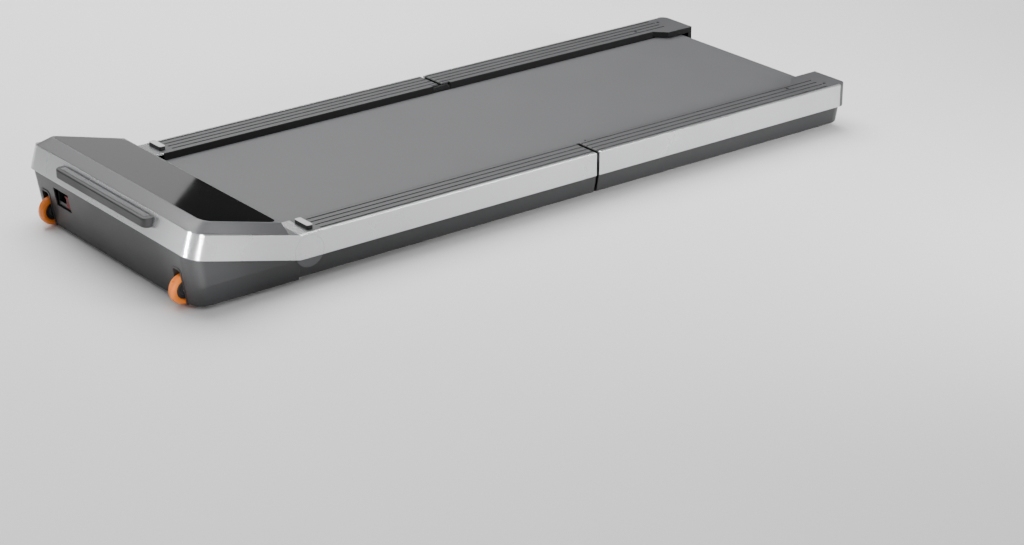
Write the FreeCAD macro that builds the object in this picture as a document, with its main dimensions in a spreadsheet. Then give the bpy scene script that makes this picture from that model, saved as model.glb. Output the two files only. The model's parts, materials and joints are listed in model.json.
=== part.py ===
import FreeCAD, Part
import math
import os
import re

import Sketcher
from FreeCAD import Rotation, Vector

# A folding walking pad: a motor head and a front deck that stand on the floor, and a rear deck
# that folds over them on a pair of double-pivot hinge links. +Y runs from head to tail, +Z is up,
# and the origin lies on the floor under the middle of the pad.

# Driving dimensions in millimetres, and angles in degrees where the name says so.
SIZES = {
    "pad_width": 526,
    "head_length": 211,
    "kink_reach": 626,
    "fold_room": 18,
    "bar_proud": 9,
    "fold_gap": 6,
    "cut_overrun": 20,
    "running_gap": 0.3,
    "pin_clearance": 0.05,
    "head_clearance": 6,
    "foot_height": 10,
    "shell_inset": 8,
    "shell_tuck": 1.5,
    "shell_wall": 3,
    "shell_edge_radius": 4,
    "nose_top": 139.8,
    "nose_band": 40.3,
    "nose_flare": 8.2,
    "nose_lean": 12,
    "nose_taper": 17.5,
    "nose_radius": 28,
    "band_height": 44,
    "band_wall": 4,
    "band_end": 16,
    "band_edge_radius": 2,
    "shoulder_rise": 30,
    "shoulder_reach": 22,
    "shoulder_wall": 3,
    "cover_height": 17,
    "cover_kink_gap": 19,
    "cover_lip": 2,
    "cover_wall": 3,
    "cover_top_wall": 4.5,
    "cover_corner_radius": 24,
    "cover_rim_radius": 2.5,
    "crown_inset": 11,
    "crown_setback": 22,
    "crown_rear_setback": 12,
    "apron_wall": 3,
    "apron_gap": 2.5,
    "panel_rim": 3,
    "panel_thickness": 2.5,
    "panel_gap": 0.2,
    "panel_corner_radius": 18,
    "panel_ledge": 5,
    "display_board_width": 180,
    "display_board_depth": 60,
    "display_board_thickness": 1.6,
    "bar_stand_in": 114,
    "bar_drop": 6.8,
    "bar_height": 17,
    "bar_end_radius": 13,
    "bar_edge_radius": 3,
    "rail_width": 64,
    "rail_wall": 3,
    "rail_leg": 20,
    "rail_edge_radius": 2,
    "rail_fold_radius": 4,
    "rail_tail_width": 86,
    "rail_tail_length": 84,
    "rail_jog": 22,
    "rail_tail_radius": 15,
    "groove_stand_in": 12.75,
    "groove_pitch": 14,
    "groove_width": 3.5,
    "groove_depth": 1.2,
    "groove_start": 25,
    "groove_tail_gap": 45,
    "belt_drop": 12.5,
    "belt_side_gap": 4,
    "belt_thickness": 1.8,
    "tail_guard_gap": 1.5,
    "roller_radius": 17.5,
    "roller_side_gap": 5,
    "roller_bore": 12,
    "roller_kink_gap": 50,
    "roller_tail_gap": 10,
    "bearing_width": 10,
    "axle_radius": 6,
    "frame_width": 32,
    "frame_wall": 2,
    "frame_stand_in": 6,
    "frame_front_lap": 8,
    "frame_end_gap": 1,
    "frame_end_wall": 4,
    "frame_end_rise": 10,
    "board_thickness": 12,
    "board_stand_in": 9,
    "board_roller_gap": 2.9,
    "cushion_height": 3.4,
    "cushion_length": 40,
    "cross_width": 25,
    "cross_height": 20,
    "cross_gap": 3.3,
    "cross_setback": 20,
    "bracket_wall": 10,
    "bracket_rim": 12,
    "bracket_rise": 10,
    "pivot_offset": 14,
    "pivot_pin_radius": 3,
    "link_radius": 6.5,
    "link_thickness": 5,
    "link_gap": 0.4,
    "ear_gap": 0.5,
    "ear_thickness": 6,
    "ear_length": 56,
    "bumper_width": 38,
    "bumper_depth": 12,
    "bumper_height": 7.4,
    "bumper_stand_in": 12,
    "bumper_radius": 3,
    "hub_radius": 28,
    "hub_setback": 18,
    "hub_drop": 32,
    "hub_depth": 12,
    "hub_stand_in": 0.5,
    "wheel_radius": 26,
    "wheel_width": 16,
    "wheel_rim_radius": 7,
    "wheel_tread": 9,
    "wheel_hub_radius": 9,
    "wheel_dish": 3,
    "wheel_stand_in": 48,
    "wheel_nose_gap": 1,
    "wheel_floor_gap": 4,
    "wheel_axle_radius": 4,
    "wheel_gap": 3,
    "wheel_top_gap": 10,
    "housing_wall": 4,
    "housing_proud": 1,
    "housing_corner_radius": 8,
    "inlet_stand_in": 108,
    "inlet_drop": 14.5,
    "inlet_height": 33,
    "inlet_depth": 36,
    "inlet_setback": 13.1,
    "inlet_rim": 2,
    "socket_width": 25,
    "socket_height": 17,
    "socket_depth": 18,
    "socket_side_gap": 2.5,
    "socket_rocker_gap": 4.5,
    "socket_pin_width": 2,
    "socket_pin_height": 4,
    "socket_pin_length": 11,
    "socket_pin_pitch": 14,
    "rocker_width": 15,
    "rocker_height": 22,
    "rocker_front": 10,
    "rocker_dip": 7.6,
    "rocker_back": 6,
    "rocker_side_gap": 3,
    "rocker_sink": 6,
    "rocker_pivot_radius": 1.5,
    "rocker_pivot_reach": 2,
    "rocker_tilt_degrees": 8,
    "motor_rise": 56,
    "motor_radius": 38,
    "motor_bell_radius": 33,
    "motor_bell_length": 12,
    "motor_length": 110,
    "motor_gap": 12,
    "motor_foot_width": 70,
    "motor_foot_length": 80,
    "motor_plate_wall": 3,
    "motor_plate_lap": 15,
    "motor_shaft_radius": 5,
    "motor_shaft_seat": 30,
    "pulley_width": 16,
    "pulley_flange": 2,
    "pulley_flange_rise": 1.5,
    "motor_pulley_radius": 10,
    "drive_pulley_radius": 28,
    "drive_belt_width": 11,
    "drive_belt_thickness": 2.5,
    "controller_stand_in": 71,
    "controller_length": 130,
    "controller_height": 38,
    "controller_gap": 3,
    "opening_stand_in": 95,
    "opening_start": 94,
    "opening_kink_gap": 92,
    "opening_tail_gap": 74,
    "opening_radius": 36,
    "lip_wall": 3,
    "lip_rise": 7,
    "tail_notch": 12,
    "base_corner_radius": 25,
    "base_tail_gap": 3,
    "foot_radius": 16,
    "foot_ring_radius": 22,
    "foot_ring_height": 3,
    "foot_stand_in": 46,
    "foot_fold_reach": 46,
    "foot_tail_gap": 62,
    "foot_head_gap": 90,
    "adjuster_radius": 4,
    "adjuster_head_radius": 6.5,
    "adjuster_head_length": 6,
    "adjuster_head_gap": 1,
    "adjuster_key_radius": 5,
}

# Sizes and places that follow from the driving dimensions.
FORMULAS = {
    "half_width": "pad_width / 2",
    "head_reach": "kink_reach + head_length",
    "rear_reach": "kink_reach - fold_room",
    "front_reach": "head_reach + bar_proud",
    "fold_y": "(front_reach - rear_reach) / 2",
    "nose_y": "fold_y - head_reach",
    "front_face": "nose_y - bar_proud",
    "nose_top_y": "nose_y + nose_lean",
    "nose_low": "nose_top - nose_band",
    "kink_y": "fold_y - kink_reach",
    "tail_y": "fold_y + rear_reach",
    "front_end": "fold_y - fold_gap / 2",
    "rear_end": "fold_y + fold_gap / 2",
    "deck_floor": "foot_height + shell_wall",
    "head_floor": "head_clearance + shell_wall",
    "lip_top": "deck_floor + lip_rise",
    "cross_top": "deck_floor + cross_height",
    "wrap_inner": "roller_radius + running_gap",
    "wrap_outer": "wrap_inner + belt_thickness",
    "belt_top": "cross_top + cross_gap + 2 * wrap_outer",
    "rail_top": "belt_top + belt_drop",
    "band_bottom": "rail_top - band_height",
    "band_fall": "(nose_low - band_bottom) / (kink_y - nose_y)",
    "band_top_fall": "(nose_top - rail_top) / (kink_y - nose_top_y)",
    "flare_share": "nose_flare / (kink_y - nose_y)",
    "lean_share": "nose_lean / nose_band",
    "front_lean": "(nose_taper - shell_tuck) / (nose_low - head_clearance)",
    "nose_slope": "atan(band_top_fall)",
    "cover_length": "(kink_y - nose_top_y - cover_kink_gap) / cos(nose_slope)",
    "crown_z": "cover_height - panel_thickness",
    "seat_corner_radius": "panel_corner_radius + panel_gap",
    "bar_half": "half_width - bar_stand_in",
    "bar_high": "nose_top - bar_drop",
    "bar_low": "bar_high - bar_height",
    "bar_back_low": "nose_y + (bar_low - nose_low) * lean_share",
    "bar_back_high": "nose_y + (bar_high - nose_low) * lean_share",
    "shell_top_half": "half_width - shell_tuck",
    "shell_low_half": "half_width - shell_inset",
    "opening_half": "half_width - opening_stand_in",
    "base_tail": "tail_y - base_tail_gap",
    "base_inner_tail": "base_tail - shell_wall",
    "base_inner_radius": "base_corner_radius - shell_wall",
    "lip_radius": "opening_radius + lip_wall",
    "rail_inner": "half_width - rail_width",
    "rail_outer": "half_width - band_wall",
    "rail_start": "kink_y + shoulder_reach",
    "tail_inner": "half_width - rail_tail_width",
    "tail_start": "tail_y - rail_tail_length",
    "roller_z": "belt_top - wrap_outer",
    "front_roller_y": "kink_y - roller_kink_gap",
    "rear_roller_y": "tail_y - roller_tail_gap - wrap_outer",
    "board_top": "belt_top - belt_thickness - running_gap",
    "board_low": "board_top - board_thickness",
    "board_tail": "rear_roller_y - roller_radius - board_roller_gap",
    "frame_top": "board_low - cushion_height",
    "frame_inner": "rail_inner + frame_stand_in",
    "frame_outer": "frame_inner + frame_width",
    "frame_front": "kink_y - frame_front_lap",
    "frame_tail": "tail_y - rail_wall - band_wall - adjuster_head_gap - adjuster_head_length",
    "board_half": "frame_outer - board_stand_in",
    "roller_length": "2 * (frame_inner - roller_side_gap)",
    "axle_length": "2 * frame_outer",
    "belt_width": "roller_length - 2 * belt_side_gap",
    "pivot_z": "rail_top - rail_wall - ear_gap - link_radius",
    "pivot_front": "fold_y - pivot_offset",
    "pivot_rear": "fold_y + pivot_offset",
    "link_inner": "rail_inner + link_gap",
    "link_outer": "link_inner + link_thickness",
    "ear_inner": "link_outer + link_gap",
    "ear_outer": "ear_inner + ear_thickness",
    "notch_front": "pivot_front - ear_length - running_gap",
    "notch_rear": "pivot_rear + ear_length + running_gap",
    "hub_y": "kink_y + hub_setback",
    "wheel_x": "half_width - wheel_stand_in",
    "wheel_y": "front_face + wheel_nose_gap + wheel_radius",
    "wheel_z": "wheel_floor_gap + wheel_radius",
    "well_inner": "wheel_x - wheel_width / 2 - wheel_gap",
    "well_outer": "wheel_x + wheel_width / 2 + wheel_gap",
    "well_rear": "wheel_y + wheel_radius + wheel_gap",
    "well_top": "wheel_z + wheel_radius + wheel_top_gap",
    "well_radius": "housing_corner_radius - housing_wall",
    "housing_inner": "well_inner - housing_wall",
    "housing_outer": "well_outer + housing_wall",
    "housing_rear": "well_rear + housing_wall",
    "housing_top": "well_top + housing_wall",
    "housing_face": "nose_y + nose_taper - housing_proud",
    "inlet_center": "half_width - inlet_stand_in",
    "inlet_y": "nose_y + inlet_setback",
    "inlet_low": "nose_low - inlet_drop - inlet_height",
    "inlet_z": "inlet_low + inlet_height / 2",
    "inlet_width": "socket_side_gap + socket_width + socket_rocker_gap + rocker_width + rocker_side_gap",
    "socket_x": "socket_side_gap + socket_width / 2 - inlet_center - inlet_width / 2",
    "rocker_x": "inlet_width / 2 - rocker_side_gap - rocker_width / 2 - inlet_center",
    "rocker_y": "inlet_y + rocker_sink",
    "motor_y": "(nose_y + nose_taper + shell_wall + front_roller_y - wrap_outer) / 2",
    "motor_z": "head_clearance + motor_rise",
    "plate_top": "head_floor + motor_plate_wall",
    "pulley_start": "roller_length / 2",
    "motor_end": "pulley_start - motor_gap - motor_bell_length",
    "motor_start": "motor_end - motor_length",
    "controller_end": "half_width - controller_stand_in",
    "foot_x": "half_width - foot_stand_in",
    "adjuster_x": "frame_inner + frame_width / 2",
}

doc = FreeCAD.newDocument("walking_pad")
sheet = doc.addObject("Spreadsheet::Sheet", "dim")
for row, (alias, entry) in enumerate(list(SIZES.items()) + list(FORMULAS.items()), start=1):
    text = entry if isinstance(entry, str) else str(entry)
    sheet.set("A%d" % row, alias)
    sheet.set("B%d" % row, "=" + text if alias in FORMULAS else text)
    sheet.setAlias("B%d" % row, alias)
doc.recompute()

nodes = []


def size(alias):
    """The number in a named cell."""
    entry = sheet.get(alias)
    return float(getattr(entry, "Value", entry))


def bound(text):
    """An expression on the sheet, with each cell's name led by the sheet's own."""
    return re.sub(r"\b[a-z]+(?:_[a-z]+)+\b", lambda found: "dim." + found.group(0), text)


def bind(piece, **texts):
    """Binds properties of a piece to expressions on the sheet."""
    for name, text in texts.items():
        piece.setExpression(name, bound(text))


def place(piece, x="0", y="0", z="0"):
    """Binds the place of a piece to expressions on the sheet."""
    for axis, text in (("x", x), ("y", y), ("z", z)):
        piece.setExpression("Placement.Base." + axis, bound(text))


def node(label, piece):
    """Keeps a finished piece under the name that its file takes."""
    piece.Label = label
    nodes.append(piece)
    return piece


def box(name, x_low, x_high, y_low, y_high, z_low, z_high):
    """A block between two corners."""
    piece = doc.addObject("Part::Box", name)
    bind(piece, Length="(%s) - (%s)" % (x_high, x_low), Width="(%s) - (%s)" % (y_high, y_low),
         Height="(%s) - (%s)" % (z_high, z_low))
    place(piece, x_low, y_low, z_low)
    return piece


TURNS = {"x": Rotation(Vector(0, 1, 0), 90), "y": Rotation(Vector(1, 0, 0), -90), "z": Rotation()}


def rod(name, axis, x, y, z, radius, length):
    """A round bar that starts at a point and runs along an axis."""
    piece = doc.addObject("Part::Cylinder", name)
    piece.Placement.Rotation = TURNS[axis]
    bind(piece, Radius=radius, Height=length)
    place(piece, x, y, z)
    return piece


def fuse(name, *pieces):
    """Pieces joined into one."""
    piece = doc.addObject("Part::MultiFuse", name)
    piece.Shapes = list(pieces)
    return piece


def cut(name, base, *tools):
    """A piece with others taken out of it."""
    piece = doc.addObject("Part::Cut", name)
    piece.Base = base
    piece.Tool = tools[0] if len(tools) == 1 else fuse(name + "_tools", *tools)
    return piece


def mirror(name, source):
    """The same piece on the other side of the pad's middle plane."""
    piece = doc.addObject("Part::Mirroring", name)
    piece.Source = source
    piece.Normal = Vector(1, 0, 0)
    return piece


def group(name, *pieces):
    """Separate solids that share a node."""
    piece = doc.addObject("Part::Compound", name)
    piece.Links = list(pieces)
    return piece


def pair(name, source):
    """A piece and its mirror image as one group."""
    return group(name, source, mirror(name + "_mirrored", source))


def close_to(number, target):
    """True where two lengths agree to a small share of the pad's width."""
    equal_share = 1e-5
    return abs(number - target) < equal_share * size("pad_width")


def ends_at(edge, axis, alias, sign=1):
    """True where both ends of an edge lie at a cell's value along an axis."""
    return all(close_to(getattr(corner.Point, axis), sign * size(alias)) for corner in edge.Vertexes)


def runs_along(edge, axis):
    """True for an edge whose ends differ along one axis alone."""
    first, last = edge.Vertexes[0].Point, edge.Vertexes[-1].Point
    return all(close_to(getattr(first, other), getattr(last, other)) for other in "xyz" if other != axis)


def rounded(name, base, *choices):
    """A piece with chosen edges rounded: each choice is a radius cell and a test for edges."""
    doc.recompute()
    piece = doc.addObject("Part::Fillet", name)
    piece.Base = base
    edges = []
    for alias, chosen in choices:
        for index, edge in enumerate(base.Shape.Edges, start=1):
            if chosen(edge):
                edges.append((index, size(alias), size(alias)))
    piece.Edges = edges
    return piece


def origin_part(body, role):
    """A plane or axis of a body's own origin."""
    return next(part for part in body.Origin.OriginFeatures if part.Role == role)


def outline(body, name, plane, points):
    """A sketch of straight lines in a body, with each corner bound to expressions on the sheet."""
    sketch = body.newObject("Sketcher::SketchObject", name + "_outline")
    sketch.AttachmentSupport = [(origin_part(body, plane), "")]
    sketch.MapMode = "FlatFace"
    count = len(points)
    ring = [Vector(math.cos(math.tau * turn / count), math.sin(math.tau * turn / count), 0)
            for turn in range(count)]
    for start in range(count):
        sketch.addGeometry(Part.LineSegment(ring[start], ring[(start + 1) % count]))
    for start in range(count):
        sketch.addConstraint(Sketcher.Constraint("Coincident", start, 2, (start + 1) % count, 1))
    for corner, (across, up) in enumerate(points):
        for kind, text, first in (("DistanceX", across, ring[corner].x), ("DistanceY", up, ring[corner].y)):
            number = sketch.addConstraint(Sketcher.Constraint(kind, -1, 1, corner, 1, first))
            sketch.setExpression("Constraints[%d]" % number, bound(text))
    return sketch


def prism(name, plane, points, low, high):
    """A body padded between two planes from an outline of straight lines."""
    body = doc.addObject("PartDesign::Body", name)
    sketch = outline(body, name, plane, points)
    pad = body.newObject("PartDesign::Pad", name + "_pad")
    pad.Profile = sketch
    pad.SideType = "Symmetric"
    bind(pad, Length="(%s) - (%s)" % (high, low))
    middle = "((%s) + (%s)) / 2" % (low, high)
    axis = {"YZ_Plane": "x", "XZ_Plane": "y", "XY_Plane": "z"}[plane]
    place(body, **{axis: middle})
    return body


def turned(name, points, x, y, z):
    """A body turned about an axis across the pad, from corners given as places along it and radii."""
    body = doc.addObject("PartDesign::Body", name)
    sketch = outline(body, name, "XY_Plane", points)
    turn = body.newObject("PartDesign::Revolution", name + "_turn")
    turn.Profile = sketch
    turn.ReferenceAxis = (origin_part(body, "X_Axis"), [""])
    place(body, x, y, z)
    return body


def wedge(name, low, high, slope=None):
    """A block whose top is another rectangle than its base: each is (x half, y low, y high, z)."""
    piece = doc.addObject("Part::Wedge", name)
    piece.Placement.Rotation = Rotation(Vector(1, 0, 0), 90)
    bind(piece, Xmin="-(%s)" % low[0], Xmax=low[0], Zmin="-(%s)" % low[2], Zmax="-(%s)" % low[1],
         Ymin=low[3],
         X2min="-(%s)" % high[0], X2max=high[0], Z2min="-(%s)" % high[2], Z2max="-(%s)" % high[1],
         Ymax=high[3])
    if slope:
        piece.setExpression("Placement.Rotation.Angle", bound("90 deg - " + slope))
        place(piece, "0", "nose_top_y", "nose_top")
    return piece


def sloped_box(name, x_half, u_low, u_high, w_low, w_high):
    """A block in the head's sloping frame: u runs down the slope from the nose, w rises from it."""
    piece = doc.addObject("Part::Box", name)
    piece.Placement.Rotation = Rotation(Vector(-1, 0, 0), size("nose_slope"))
    piece.setExpression("Placement.Rotation.Angle", bound("nose_slope"))
    bind(piece, Length="2 * (%s)" % x_half, Width="(%s) - (%s)" % (u_high, u_low),
         Height="(%s) - (%s)" % (w_high, w_low))
    place(piece, "-(%s)" % x_half,
          "nose_top_y + (%s) * cos(nose_slope) + (%s) * sin(nose_slope)" % (u_low, w_low),
          "nose_top - (%s) * sin(nose_slope) + (%s) * cos(nose_slope)" % (u_low, w_low))
    return piece


# The head's lower shell: a moulded tub with tapered walls, rounded at the nose, open towards the
# deck, with openings for the two wheel housings and for the power inlet.
def tub(name, wall, floor, rear, top, corner):
    """The head's form inside a wall: its cross-section met with its side profile, rounded at the nose."""
    section = prism(name + "_section", "XZ_Plane",
                    [("-shell_low_half + " + wall, floor), ("shell_low_half - " + wall, floor),
                     ("shell_top_half - " + wall, "band_bottom"), ("shell_top_half - " + wall, "nose_top"),
                     ("-shell_top_half + " + wall, "nose_top"),
                     ("-shell_top_half + " + wall, "band_bottom")],
                    "nose_y - cut_overrun", "(%s) + cut_overrun" % rear)
    profile = prism(name + "_profile", "YZ_Plane",
                    [("nose_y + nose_taper + %s - (%s - head_clearance) * front_lean" % (wall, floor),
                      floor),
                     (rear, floor), (rear, "band_bottom + %s - ((%s) - kink_y) * band_fall" % (top, rear)),
                     ("nose_y + shell_tuck + %s - %s * front_lean" % (wall, top),
                      "nose_low + %s - (shell_tuck + %s) * band_fall" % (top, wall))],
                    "-half_width", "half_width")
    form = doc.addObject("Part::MultiCommon", name + "_form")
    form.Shapes = [section, profile]
    return rounded(name, form, (corner, at_nose))


def at_nose(edge):
    """True for an upright edge at a front corner of the head."""
    return all(corner.Point.y < size("motor_y") for corner in edge.Vertexes) and not runs_along(edge, "x")


def along_at(alias):
    """A test for the edges that run from nose to tail at a cell's height."""
    return lambda edge: runs_along(edge, "y") and ends_at(edge, "z", alias)


tub_form = tub("tub_form", "0", "head_clearance", "kink_y", "0", "nose_radius")
tub_outer = rounded("tub_outer", tub_form,
                    ("shell_edge_radius", lambda edge: ends_at(edge, "z", "head_clearance")
                     and not ends_at(edge, "y", "kink_y")))
tub_inner = tub("tub_inner", "shell_wall", "head_floor", "kink_y + cut_overrun", "cut_overrun",
                "cover_corner_radius")
housing_block = prism("housing_block", "YZ_Plane",
                      [("housing_face", "head_clearance"), ("housing_rear", "head_clearance"),
                       ("housing_rear", "housing_top"),
                       ("housing_face - (housing_top - head_clearance) * front_lean", "housing_top")],
                      "housing_inner", "housing_outer")
housing_form = rounded("housing_form", housing_block, ("housing_corner_radius", along_at("housing_top")))
inlet_hole = box("inlet_hole", "-inlet_center - inlet_width / 2", "-inlet_center + inlet_width / 2",
                 "nose_y - cut_overrun", "inlet_y + cut_overrun", "inlet_low", "inlet_low + inlet_height")
node("head_base", cut("head_base_solid", tub_outer, tub_inner, housing_form,
                      mirror("housing_form_mirrored", housing_form), inlet_hole))


def tray(name, y_low, y_high, hole_low, hole_high, inner_high):
    """The lower shell under one half of the deck, and the lipped opening in its floor."""
    outer = prism(name + "_block", "XZ_Plane",
                  [("-shell_top_half", "band_bottom"), ("-shell_low_half", "foot_height"),
                   ("shell_low_half", "foot_height"), ("shell_top_half", "band_bottom")], y_low, y_high)
    inner = prism(name + "_inner", "XZ_Plane",
                  [("-shell_top_half + shell_wall", "band_bottom"),
                   ("-shell_low_half + shell_wall", "deck_floor"),
                   ("shell_low_half - shell_wall", "deck_floor"),
                   ("shell_top_half - shell_wall", "band_bottom")],
                  "(%s) - cut_overrun" % y_low, inner_high)
    lip_block = box(name + "_lip_block", "-opening_half - lip_wall", "opening_half + lip_wall",
                    "(%s) - lip_wall" % hole_low, "(%s) + lip_wall" % hole_high, "foot_height", "lip_top")
    hole_block = box(name + "_hole_block", "-opening_half", "opening_half", hole_low, hole_high,
                     "foot_height - cut_overrun", "lip_top + cut_overrun")
    lip = rounded(name + "_lip", lip_block, ("lip_radius", lambda edge: runs_along(edge, "z")))
    hole = rounded(name + "_hole", hole_block, ("opening_radius", lambda edge: runs_along(edge, "z")))
    return outer, inner, lip, hole


front_outer, front_inner, front_lip, front_hole = tray(
    "front_tray", "kink_y", "front_end", "kink_y + opening_kink_gap", "fold_y - opening_start",
    "front_end + cut_overrun")
front_edge = rounded("front_tray_edge", front_outer, ("shell_edge_radius", along_at("foot_height")))
node("front_base", cut("front_base_solid",
                       fuse("front_base_sum", cut("front_base_shell", front_edge, front_inner), front_lip),
                       front_hole))

rear_outer, rear_inner, rear_lip, rear_hole = tray(
    "rear_tray", "rear_end", "base_tail", "fold_y + opening_start", "tail_y - opening_tail_gap",
    "base_inner_tail")
rear_corner = rounded("rear_tray_corner", rear_outer,
                      ("base_corner_radius", lambda edge: ends_at(edge, "y", "base_tail")
                       and not runs_along(edge, "x")))
rear_edge = rounded("rear_tray_edge", rear_corner,
                    ("shell_edge_radius", lambda edge: ends_at(edge, "z", "foot_height")
                     and not ends_at(edge, "y", "rear_end")))
rear_notch = box("rear_notch", "-tail_inner", "tail_inner", "tail_y - tail_notch", "tail_y + cut_overrun",
                 "foot_height - cut_overrun", "band_bottom + cut_overrun")
rear_room = rounded("rear_tray_room", rear_inner,
                    ("base_inner_radius", lambda edge: ends_at(edge, "y", "base_inner_tail")
                     and not runs_along(edge, "x")))
node("rear_base", cut("rear_base_solid",
                      fuse("rear_base_sum", cut("rear_base_shell", rear_edge, rear_room), rear_lip),
                      rear_hole, rear_notch))

# The satin band round the head: it wraps the nose, where it leans back and flares over the shell,
# and falls along both sides to the kink, where it carries the pale shoulder in front of each rail.
nose_profile = prism("nose_profile", "YZ_Plane",
                     [("nose_top_y", "nose_top"), ("nose_y", "nose_low"), ("kink_y", "band_bottom"),
                      ("kink_y", "rail_top")], "-pad_width", "pad_width")
nose_plan = prism("nose_plan", "XY_Plane",
                  [("-half_width - nose_flare - cut_overrun * flare_share", "nose_y - cut_overrun"),
                   ("half_width + nose_flare + cut_overrun * flare_share", "nose_y - cut_overrun"),
                   ("half_width", "kink_y"), ("-half_width", "kink_y")],
                  "band_bottom - cut_overrun", "nose_top + cut_overrun")
nose_outer = doc.addObject("Part::MultiCommon", "nose_outer")
nose_outer.Shapes = [nose_profile, nose_plan]
nose_round = rounded("nose_round", nose_outer, ("nose_radius", at_nose))
nose_inner = prism("nose_inner", "YZ_Plane",
                   [("nose_top_y + band_wall + cut_overrun * lean_share", "nose_top + cut_overrun"),
                    ("nose_y + band_wall - cut_overrun * lean_share", "nose_low - cut_overrun"),
                    ("kink_y + cut_overrun", "nose_low - band_height - cut_overrun"),
                    ("kink_y + cut_overrun", "nose_top + cut_overrun")],
                   "-half_width + band_wall", "half_width - band_wall")
nose_inner_round = rounded("nose_inner_round", nose_inner, ("cover_corner_radius", at_nose))
shoulder = prism("shoulder", "YZ_Plane",
                 [("kink_y - shoulder_rise", "rail_top + shoulder_rise * band_top_fall"),
                  ("kink_y", "rail_top"),
                  ("rail_start", "rail_top"), ("rail_start", "rail_top - shoulder_wall"),
                  ("kink_y", "rail_top - shoulder_wall"),
                  ("kink_y - shoulder_rise", "rail_top + shoulder_rise * band_top_fall - shoulder_wall")],
                 "rail_inner", "rail_outer")
node("head_trim", fuse("head_trim_solid", cut("nose_band_solid", nose_round, nose_inner_round),
                       shoulder, mirror("shoulder_mirrored", shoulder)))

# The grey top cover: a bevelled frame that rises from the band to the sloping crown, recessed for
# the display panel, with an apron that closes the gap above the belt.
def on_crown(edge):
    """True for an edge round the top of the cover's block."""
    lean = math.radians(size("nose_slope"))
    rises = [(corner.Point.y - size("nose_top_y")) * math.sin(lean)
             + (corner.Point.z - size("nose_top")) * math.cos(lean) for corner in edge.Vertexes]
    return all(close_to(rise, size("cover_height")) for rise in rises)


def through_crown(edge):
    """True for a corner edge of the display panel or of its seat, square to the slope."""
    first, last = edge.Vertexes[0].Point, edge.Vertexes[-1].Point
    return close_to(first.x, last.x) and abs(last.z - first.z) > abs(last.y - first.y)


cover_corners = rounded(
    "cover_corners",
    wedge("cover_block", ("half_width - cover_lip", "cover_lip", "cover_length", "0"),
          ("half_width - cover_lip - crown_inset", "crown_setback", "cover_length - crown_rear_setback",
           "cover_height"), "nose_slope"),
    ("cover_corner_radius", at_nose))
cover_outer = rounded("cover_outer", cover_corners, ("cover_rim_radius", on_crown))
cover_inner = wedge("cover_inner",
                    ("half_width - cover_lip - cover_wall", "cover_lip + cover_wall",
                     "cover_length - cover_wall", "-cut_overrun"),
                    ("half_width - cover_lip - cover_wall - crown_inset", "crown_setback + cover_wall",
                     "cover_length - crown_rear_setback - cover_wall", "cover_height - cover_top_wall"),
                    "nose_slope")
seat_block = sloped_box("seat_block", "half_width - cover_lip - crown_inset - panel_rim + panel_gap",
                        "crown_setback + panel_rim - panel_gap",
                        "cover_length - crown_rear_setback - panel_rim + panel_gap",
                        "crown_z", "cover_height + cut_overrun")
panel_seat = rounded("panel_seat", seat_block, ("seat_corner_radius", through_crown))
panel_window = sloped_box("panel_window", "display_board_width / 2 - panel_ledge",
                          "cover_length / 2 - display_board_depth / 2 + panel_ledge",
                          "cover_length / 2 + display_board_depth / 2 - panel_ledge",
                          "cover_height - cover_top_wall - cut_overrun", "cover_height")
apron = box("apron", "-rail_inner + running_gap", "rail_inner - running_gap",
            "nose_top_y + (cover_length - cover_wall) * cos(nose_slope) - apron_wall",
            "nose_top_y + (cover_length - cover_wall) * cos(nose_slope)",
            "belt_top + apron_gap", "nose_top - cover_length * sin(nose_slope) + cover_wall")
node("head_cover", fuse("head_cover_solid",
                        cut("cover_shell", cover_outer, cover_inner, panel_seat, panel_window), apron))
panel_block = sloped_box("panel_block", "half_width - cover_lip - crown_inset - panel_rim",
                         "crown_setback + panel_rim", "cover_length - crown_rear_setback - panel_rim",
                         "crown_z", "cover_height")
node("display_panel", rounded("display_panel_solid", panel_block, ("panel_corner_radius", through_crown)))
node("display_board", sloped_box("display_board_solid", "display_board_width / 2",
                                 "cover_length / 2 - display_board_depth / 2",
                                 "cover_length / 2 + display_board_depth / 2",
                                 "cover_height - cover_top_wall - display_board_thickness",
                                 "cover_height - cover_top_wall"))

# The front bar that the pad stands on, with the wheels, when it is tipped upright for storage.
bar_block = prism("bar_block", "YZ_Plane",
                  [("bar_back_low", "bar_low"), ("front_face", "bar_low"), ("front_face", "bar_high"),
                   ("bar_back_high", "bar_high")], "-bar_half", "bar_half")
bar_ends = rounded("bar_ends", bar_block,
                   ("bar_end_radius", lambda edge: runs_along(edge, "z")
                    and ends_at(edge, "y", "front_face")))
node("front_bar", rounded("front_bar_solid", bar_ends,
                          ("bar_edge_radius", lambda edge: ends_at(edge, "z", "bar_low")
                           and not ends_at(edge, "y", "bar_back_low")),
                          ("bar_edge_radius", lambda edge: ends_at(edge, "z", "bar_high")
                           and not ends_at(edge, "y", "bar_back_high"))))


def side_pair(stem, piece):
    """A piece on the +X side and its mirror image, as right and left nodes."""
    node(stem + "_right", piece)
    node(stem + "_left", mirror(stem + "_left_solid", piece))


def side_trim(stem, y_low, y_high, fold):
    """The satin band along one half of the deck, rounded on top and at the fold."""
    block = box(stem + "_block", "half_width - band_wall", "half_width", y_low, y_high, "band_bottom",
                "rail_top")
    side_pair(stem, rounded(stem + "_solid", block,
                            ("rail_fold_radius", lambda edge: runs_along(edge, "x")
                             and ends_at(edge, "y", fold)
                             and ends_at(edge, "z", "rail_top")),
                            ("band_edge_radius", lambda edge: runs_along(edge, "y")
                             and ends_at(edge, "z", "rail_top") and ends_at(edge, "x", "half_width"))))


side_trim("side_trim_front", "kink_y", "front_end", "front_end")
side_trim("side_trim_rear", "rear_end", "tail_y - band_end", "rear_end")


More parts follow.
